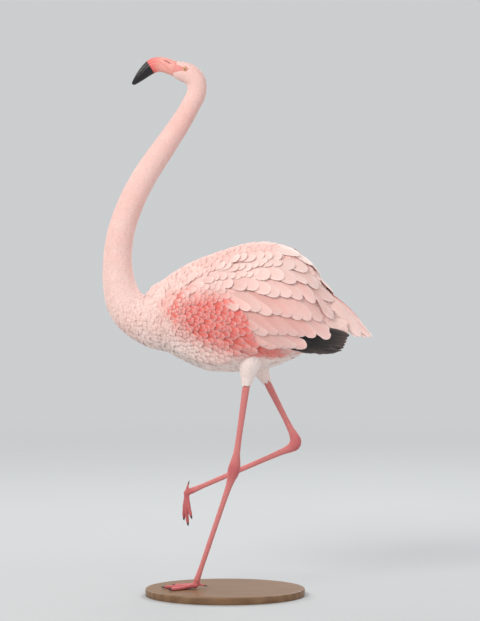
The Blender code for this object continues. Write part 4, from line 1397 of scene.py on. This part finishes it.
# %% Calming the joints
def calm_near(mesh, points, centres, radius, rounds):
    """Smooths points within a radius of these centres, most at the middle."""
    edges = np.empty(len(mesh.edges) * 2, np.int32)
    mesh.edges.foreach_get("vertices", edges)
    a, b = edges.reshape(-1, 2).T
    count = np.bincount(np.concatenate([a, b]), minlength=len(points))[:, None]
    share = np.zeros((len(points), 1))
    for centre in centres:
        away = np.linalg.norm(points - centre, axis=1)
        share = np.maximum(share, (1 - ease(0.5 * radius, radius, away))[:, None])
    for _ in range(rounds):
        total = np.stack([
            np.bincount(a, points[b, k], len(points)) + np.bincount(b, points[a, k], len(points))
            for k in range(3)
        ], -1)
        points = mix(points, total / count, share * 0.7)
    return points


# %% Melting solids into one mesh
def melted(name, nodes, voxel, rounds, swell, joint=None, stretch=1.0):
    """Copies of solids, swollen until they touch, remeshed as one, smoothed and shrunk back.

    With a joint given, each solid is first stretched towards it from its own far tip.
    """
    points, faces = [], []
    for part in nodes:
        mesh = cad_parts[part].data
        start = len(points)
        grown = read_mesh(mesh) + read_mesh(mesh, "normal") * swell
        if joint is not None:
            tip = grown[np.argmax(np.linalg.norm(grown - joint, axis=1))]
            grown = tip + (grown - tip) * stretch
        points += grown.tolist()
        faces += [[start + v for v in face.vertices] for face in mesh.polygons]
    mesh = bpy.data.meshes.new(name)
    mesh.from_pydata(points, [], faces)
    obj = bpy.data.objects.new(name, mesh)
    bpy.context.scene.collection.objects.link(obj)
    melt = obj.modifiers.new("melt", "REMESH")
    melt.mode, melt.voxel_size = "VOXEL", voxel
    calm = obj.modifiers.new("calm", "SMOOTH")
    calm.factor, calm.iterations = 0.5, rounds
    result = bpy.data.meshes.new_from_object(obj.evaluated_get(bpy.context.evaluated_depsgraph_get()))
    obj.modifiers.clear()
    obj.data = result
    bpy.data.meshes.remove(mesh)
    shrunk = read_mesh(result) - read_mesh(result, "normal") * (swell * 0.7)
    result.vertices.foreach_set("co", shrunk.astype(np.float32).ravel())
    result.update()
    result.shade_smooth()
    return obj


# %% Places on the leg
def leg_places(points, leg):
    """For each point: how far down the leg it is, and 1 at the front to -1 at the back."""
    best = np.full(len(points), 1e9)
    down, front = np.zeros(len(points)), np.zeros(len(points))
    travelled = 0.0
    for a, b in ((leg[0], leg[1]), (leg[1], leg[2])):
        run = b - a
        length = np.linalg.norm(run)
        share = np.clip((points - a) @ run / length**2, 0, 1)
        away = points - (a + share[:, None] * run)
        distance = np.linalg.norm(away, axis=1)
        ahead = unit(np.array([-1.0, 0, 0]) - run / length * (-run[0] / length))
        closer = distance < best
        best = np.where(closer, distance, best)
        down = np.where(closer, travelled + share * length, down)
        front = np.where(closer, unit(away) @ ahead, front)
        travelled += length
    return down, front, travelled


# %% Plates, folds and colours
PLATE, FOLD, TOE_RING = 0.0072, 0.0034, 0.0042  # from one plate, fold or ring to the next


def leg_skin(place, finish):
    """One leg's skin from the thigh's feathers to the toes, with its plates and colours."""
    parts = [f"{part}_{place}" for part in ("thigh", "shank", "hock", "tarsus", "foot", "hind_toe")]
    obj = melted(f"leg_{place}_skin", parts, 1.15 * MM, 10, 0.8 * MM)
    mesh, leg = obj.data, LEGS[place]
    hip_to_hock, hock_to_toes = unit(leg[1] - leg[0]), unit(leg[2] - leg[1])
    joints = (leg[2] - hock_to_toes * 0.004, leg[1] - hip_to_hock * 0.020, leg[1] + hock_to_toes * 0.020)
    points = calm_near(mesh, read_mesh(mesh), joints, 0.016, 30)
    points = calm_near(mesh, points, (leg[0] + hip_to_hock * 0.046,), 0.024, 60)
    mesh.vertices.foreach_set("co", points.astype(np.float32).ravel())
    mesh.update()
    normal = read_mesh(mesh, "normal")
    down, front, total = leg_places(points, leg)
    hock_at = np.linalg.norm(leg[0] - leg[1])
    plates = np.abs((down / PLATE) % 1 - 0.5) * 2
    cut = np.exp(-(((1 - plates) / 0.20) ** 2)) * ease(0.15, 0.45, front)
    bare = ease(0.03, 0.05, down)
    folds = np.sin(down / FOLD * 2 * np.pi) * np.exp(-(((down - hock_at) / 0.016) ** 2))
    toes = ease(total - 0.006, total, down)
    rings = np.sin(np.linalg.norm(points - leg[2], axis=1) / TOE_RING * 2 * np.pi) * toes
    points = points + normal * ((-0.00050 * cut - 0.00020 * folds + 0.00012 * rings) * bare)[:, None]
    mesh.vertices.foreach_set("co", points.astype(np.float32).ravel())
    joint = np.exp(-(((down - hock_at) / 0.030) ** 2)) + ease(total - 0.03, total, down)
    colour = mix(LEG_PINK, JOINT_PINK, np.clip(joint + 0.15 * drift(points, 0.012), 0, 1)[:, None])
    store_tint(mesh, mix(body_colour(points), colour, bare[:, None]))
    mesh.update()
    dress(obj, finish, "leg_skin", *parts)
    print(f"{obj.name}: {len(mesh.polygons)} faces")


# %% [markdown]
# ## Scaly skin of the legs
#
# Between the plates a flamingo's leg has small scales like a net, with darker seams and a
# dusty bloom on top. Modelled scales would need millions of faces, so a cell pattern draws
# the seams and sinks them a little. The plates themselves are in the mesh.

# %% Leg finish
leg_finish, tree, shader = new_finish(
    "leg skin", 0.42, Specular_IOR_Level=0.45, Subsurface_Weight=0.10, Subsurface_Scale=0.002
)
tint = stored(tree, "tint", "Color")
net = {"Scale": 330.0, "Randomness": 0.7}
scales = node(tree, "ShaderNodeTexVoronoi", net, feature="DISTANCE_TO_EDGE").outputs[0]
seams = node(tree, "ShaderNodeMapRange", {0: scales, 1: 0.0, 2: 0.16}).outputs[0]
bloom = noise(tree, 45.0, 5.0)
dusty = blend_colour(tree, maths(tree, "MULTIPLY", bloom, 0.30), tint, (0.86, 0.50, 0.44, 1))
lined = blend_colour(tree, maths(tree, "MULTIPLY_ADD", seams, -0.30, 0.30), dusty, (0.40, 0.06, 0.06, 1))
tree.links.new(lined, shader.inputs["Base Color"])
bump(tree, shader, seams, 0.00035, 0.7)
for place in ("left", "right"):
    leg_skin(place, leg_finish)

# %% [markdown]
# ## Claws
#
# Each toe ends in a short dark claw. The claws are small solids already, so they are melted
# softly like the leg. They are first made a little longer towards the leg, so that their roots
# sit in the skin of the toes. One foot's claws make one piece.

# %% Claws
claw_finish, tree, shader = new_finish("claw horn", 0.38)
grain = noise(tree, 700.0, 3.0)
claw_colour = blend_colour(tree, grain, (0.030, 0.016, 0.015, 1), (0.110, 0.060, 0.055, 1))
tree.links.new(claw_colour, shader.inputs["Base Color"])
bump(tree, shader, grain, 0.0001, 0.4)
for place in ("left", "right"):
    nodes = [f"claw_{place}_{toe}" for toe in ("inner", "middle", "outer", "hind")]
    claws = melted(f"claws_{place}", nodes, 0.35 * MM, 4, 0.20 * MM, LEGS[place][2], 1.20)
    dress(claws, claw_finish, "claw", *nodes)

# %% [markdown]
# ## Thigh tufts
#
# Where the leg leaves the belly the feathers end in a ragged cuff. The body's feathers can't
# make it, since their form has no legs. So it is laid like the rest of the coat on a small
# form of its own round the thigh, with its rows running down the leg.

# %% Feathers on the thighs
THIGH_ABOVE_HIP, THIGH_LENGTH = 0.040, 0.082
THIGH = np.array([  # share of the thigh's length, how far it reaches round its line
    (0, 0.034), (0.49, 0.0285), (0.72, 0.0225), (0.88, 0.0175), (1, 0.0150),
])
THIGH_RINGS, THIGH_ROUND, THIGH_GAP = 60, 64, 3.6 * MM


def thigh_tuft(place):
    """Downy feathers from inside the belly to a cuff on the shank."""
    hip, hock, _ = LEGS[place]
    down = unit(hock - hip)
    t = np.linspace(1, 0, THIGH_RINGS)  # from the cuff up, so that feathers lie downwards
    centre = hip - down * THIGH_ABOVE_HIP + down * (t * THIGH_LENGTH)[:, None]
    across = np.interp(t, *THIGH.T)
    reach = oval_reach(across, across, across * 0.92, THIGH_ROUND)
    form = Form(ring_points(centre, np.tile(-down, (THIGH_RINGS, 1)), reach)[0])
    ring, turn = rows_of_roots(form, 1.0, 55, lambda place: THIGH_GAP)
    length = np.interp(ring, [0, 20, 55], [15, 20, 24]) * MM * chance.uniform(0.85, 1.2, len(ring))
    colour = body_colour(form.read(form.points, ring, turn))
    return lay(form, ring, turn, length, length * 0.34, (-2.0 * MM, length * 0.05), 8, TENT,
               colour, aim=straight_back, swing=0.13, ragged=0.3)


for place in ("left", "right"):
    coat_piece(f"feathers_thigh_{place}", [thigh_tuft(place)], down_finish)

# %% [markdown]
# ## The display base
#
# The bird leans over the foot that it stands on, so the model needs a base. It is a plain oval
# board with an eased edge. We draw its profile once and sweep it round the oval. A bevel on
# the solid would ease the edge too, but a profile also gives even rings for smooth shading.

# %% Base
low, high = (np.array(corner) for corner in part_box("stand_base"))
half, top = (high - low) / 2, high[2]
EDGE = 4.0 * MM  # radius of the eased upper edge
BOARD_ROUND = 192
profile = [(0.03, 0.0), (1.5 * MM, 0.0), (0.6 * MM, 0.25 * MM), (0.0, 1.2 * MM), (0.0, top - EDGE)]
for angle in np.linspace(0.15, math.pi / 2, 9):
    profile.append((EDGE * (1 - math.cos(angle)), top - EDGE + EDGE * math.sin(angle)))
profile += [(0.030, top), (0.090, top)]


# %% Sweeping the profile round
def board_ring(inward, height):
    """One oval of the board, this far inside its outline and this high."""
    turn = np.arange(BOARD_ROUND) * 2 * np.pi / BOARD_ROUND
    x, y = (half[0] - inward) * np.cos(turn), (half[1] - inward) * np.sin(turn)
    return np.stack([x, y, np.full(BOARD_ROUND, height)], -1)


board = tube_object("stand_board", np.array([board_ring(*place) for place in profile]), sharp=50)

# %% [markdown]
# ## Oiled oak
#
# Oak has long fine fibres and wider bands from year to year. A picture of wood would do, but
# it repeats and smears on the edge. Noise that is stretched along the board runs through the
# wood as real fibres do, and a bent wave gives the bands.

# %% Oak finish
oak, tree, shader = new_finish("oiled oak", 0.42, Specular_IOR_Level=0.4)
where = node(tree, "ShaderNodeTexCoord").outputs["Object"]
stretched = node(tree, "ShaderNodeMapping", {0: where, "Scale": (3.0, 46.0, 46.0)}).outputs[0]
fibres = {"Vector": stretched, "Scale": 3.0, "Detail": 8.0, "Roughness": 0.62}
fibre = node(tree, "ShaderNodeTexNoise", fibres).outputs[0]
year_rings = node(tree, "ShaderNodeMapping", {0: where, "Scale": (1.2, 9.0, 9.0)}).outputs[0]
years = {"Vector": year_rings, "Scale": 1.6, "Distortion": 5.0, "Detail": 3.0}
growth = node(tree, "ShaderNodeTexWave", years, bands_direction="Y").outputs["Fac"]
wood = blend_colour(tree, fibre, (0.150, 0.072, 0.032, 1), (0.34, 0.195, 0.098, 1))
wood = blend_colour(tree, maths(tree, "MULTIPLY", growth, 0.40), wood, (0.10, 0.045, 0.020, 1))
tree.links.new(wood, shader.inputs["Base Color"])
bump(tree, shader, fibre, 0.0003, 0.5)
dress(board, oak, "display_base", "stand_base")

# %% [markdown]
# ## Floor, light and camera
#
# A pale bird on a white ground loses its outline, so the floor is a light grey that fades into
# the same grey all round. A broad key light from the front left models the feathers, a weaker
# fill opens the shadows and a light from behind draws the neck's edge. The camera is far off
# with a long lens, square to the bird's left side.

# %% Floor
BACKDROP = (0.60, 0.615, 0.625, 1)
bpy.ops.mesh.primitive_plane_add(size=40)
floor = bpy.context.object
floor.name = "floor"
paper, tree, shader = new_finish("floor paper", 0.9)
greys = blend_colour(tree, noise(tree, 40.0, 3.0), (0.47, 0.48, 0.485, 1), (0.50, 0.51, 0.515, 1))
tree.links.new(greys, shader.inputs["Base Color"])
floor_place = node(tree, "ShaderNodeTexCoord").outputs["Object"]
from_bird = node(tree, "ShaderNodeVectorMath", {0: floor_place}, operation="LENGTH").outputs["Value"]
fade = node(tree, "ShaderNodeMapRange", {0: from_bird, 1: 0.9, 2: 5.0}, interpolation_type="SMOOTHSTEP")
clear = node(tree, "ShaderNodeBsdfTransparent").outputs[0]
both = node(tree, "ShaderNodeMixShader", {0: fade.outputs[0], 1: shader.outputs[0], 2: clear}).outputs[0]
tree.links.new(both, tree.nodes["Material Output"].inputs["Surface"])
floor.data.materials.append(paper)


# %% Lights
def soft_light(name, place, size, watts, colour=(1, 1, 1)):
    """A square soft light that faces the bird."""
    lamp = bpy.data.lights.new(name, "AREA")
    lamp.size, lamp.energy, lamp.color = size, watts, colour
    obj = bpy.data.objects.new(name, lamp)
    obj.location = place
    obj.rotation_euler = (Vector((0, 0, 0.8)) - Vector(place)).to_track_quat("-Z", "Y").to_euler()
    bpy.context.scene.collection.objects.link(obj)


soft_light("key", (-2.4, -2.9, 3.6), 1.6, 122, (1.0, 0.97, 0.93))
soft_light("fill", (3.0, -2.6, 1.6), 2.6, 26, (0.94, 0.97, 1.0))
soft_light("edge", (1.6, 3.0, 3.0), 1.8, 80)
soft_light("far side", (-2.6, 2.6, 2.4), 2.2, 50)
world = bpy.data.worlds.new("studio")
world.use_nodes = True
world.node_tree.nodes["Background"].inputs[0].default_value = BACKDROP
world.node_tree.nodes["Background"].inputs[1].default_value = 1.0
bpy.context.scene.world = world
bpy.context.scene.view_settings.view_transform = "Standard"

# %% Camera
TARGET, DISTANCE, FRAME_HEIGHT = Vector((0.040, 0, 0.769)), 6.0, 1.664
SENSOR_MM = 24.0
camera = bpy.data.cameras.new("camera")
camera.sensor_fit = "VERTICAL"
camera.sensor_height = SENSOR_MM
camera.lens = SENSOR_MM * DISTANCE / FRAME_HEIGHT
camera_object = bpy.data.objects.new("camera", camera)
tilt = math.radians(3.0)
camera_object.location = TARGET + Vector((0, -math.cos(tilt), math.sin(tilt))) * DISTANCE
camera_object.rotation_euler = (TARGET - camera_object.location).to_track_quat("-Z", "Y").to_euler()
bpy.context.scene.collection.objects.link(camera_object)
bpy.context.scene.camera = camera_object
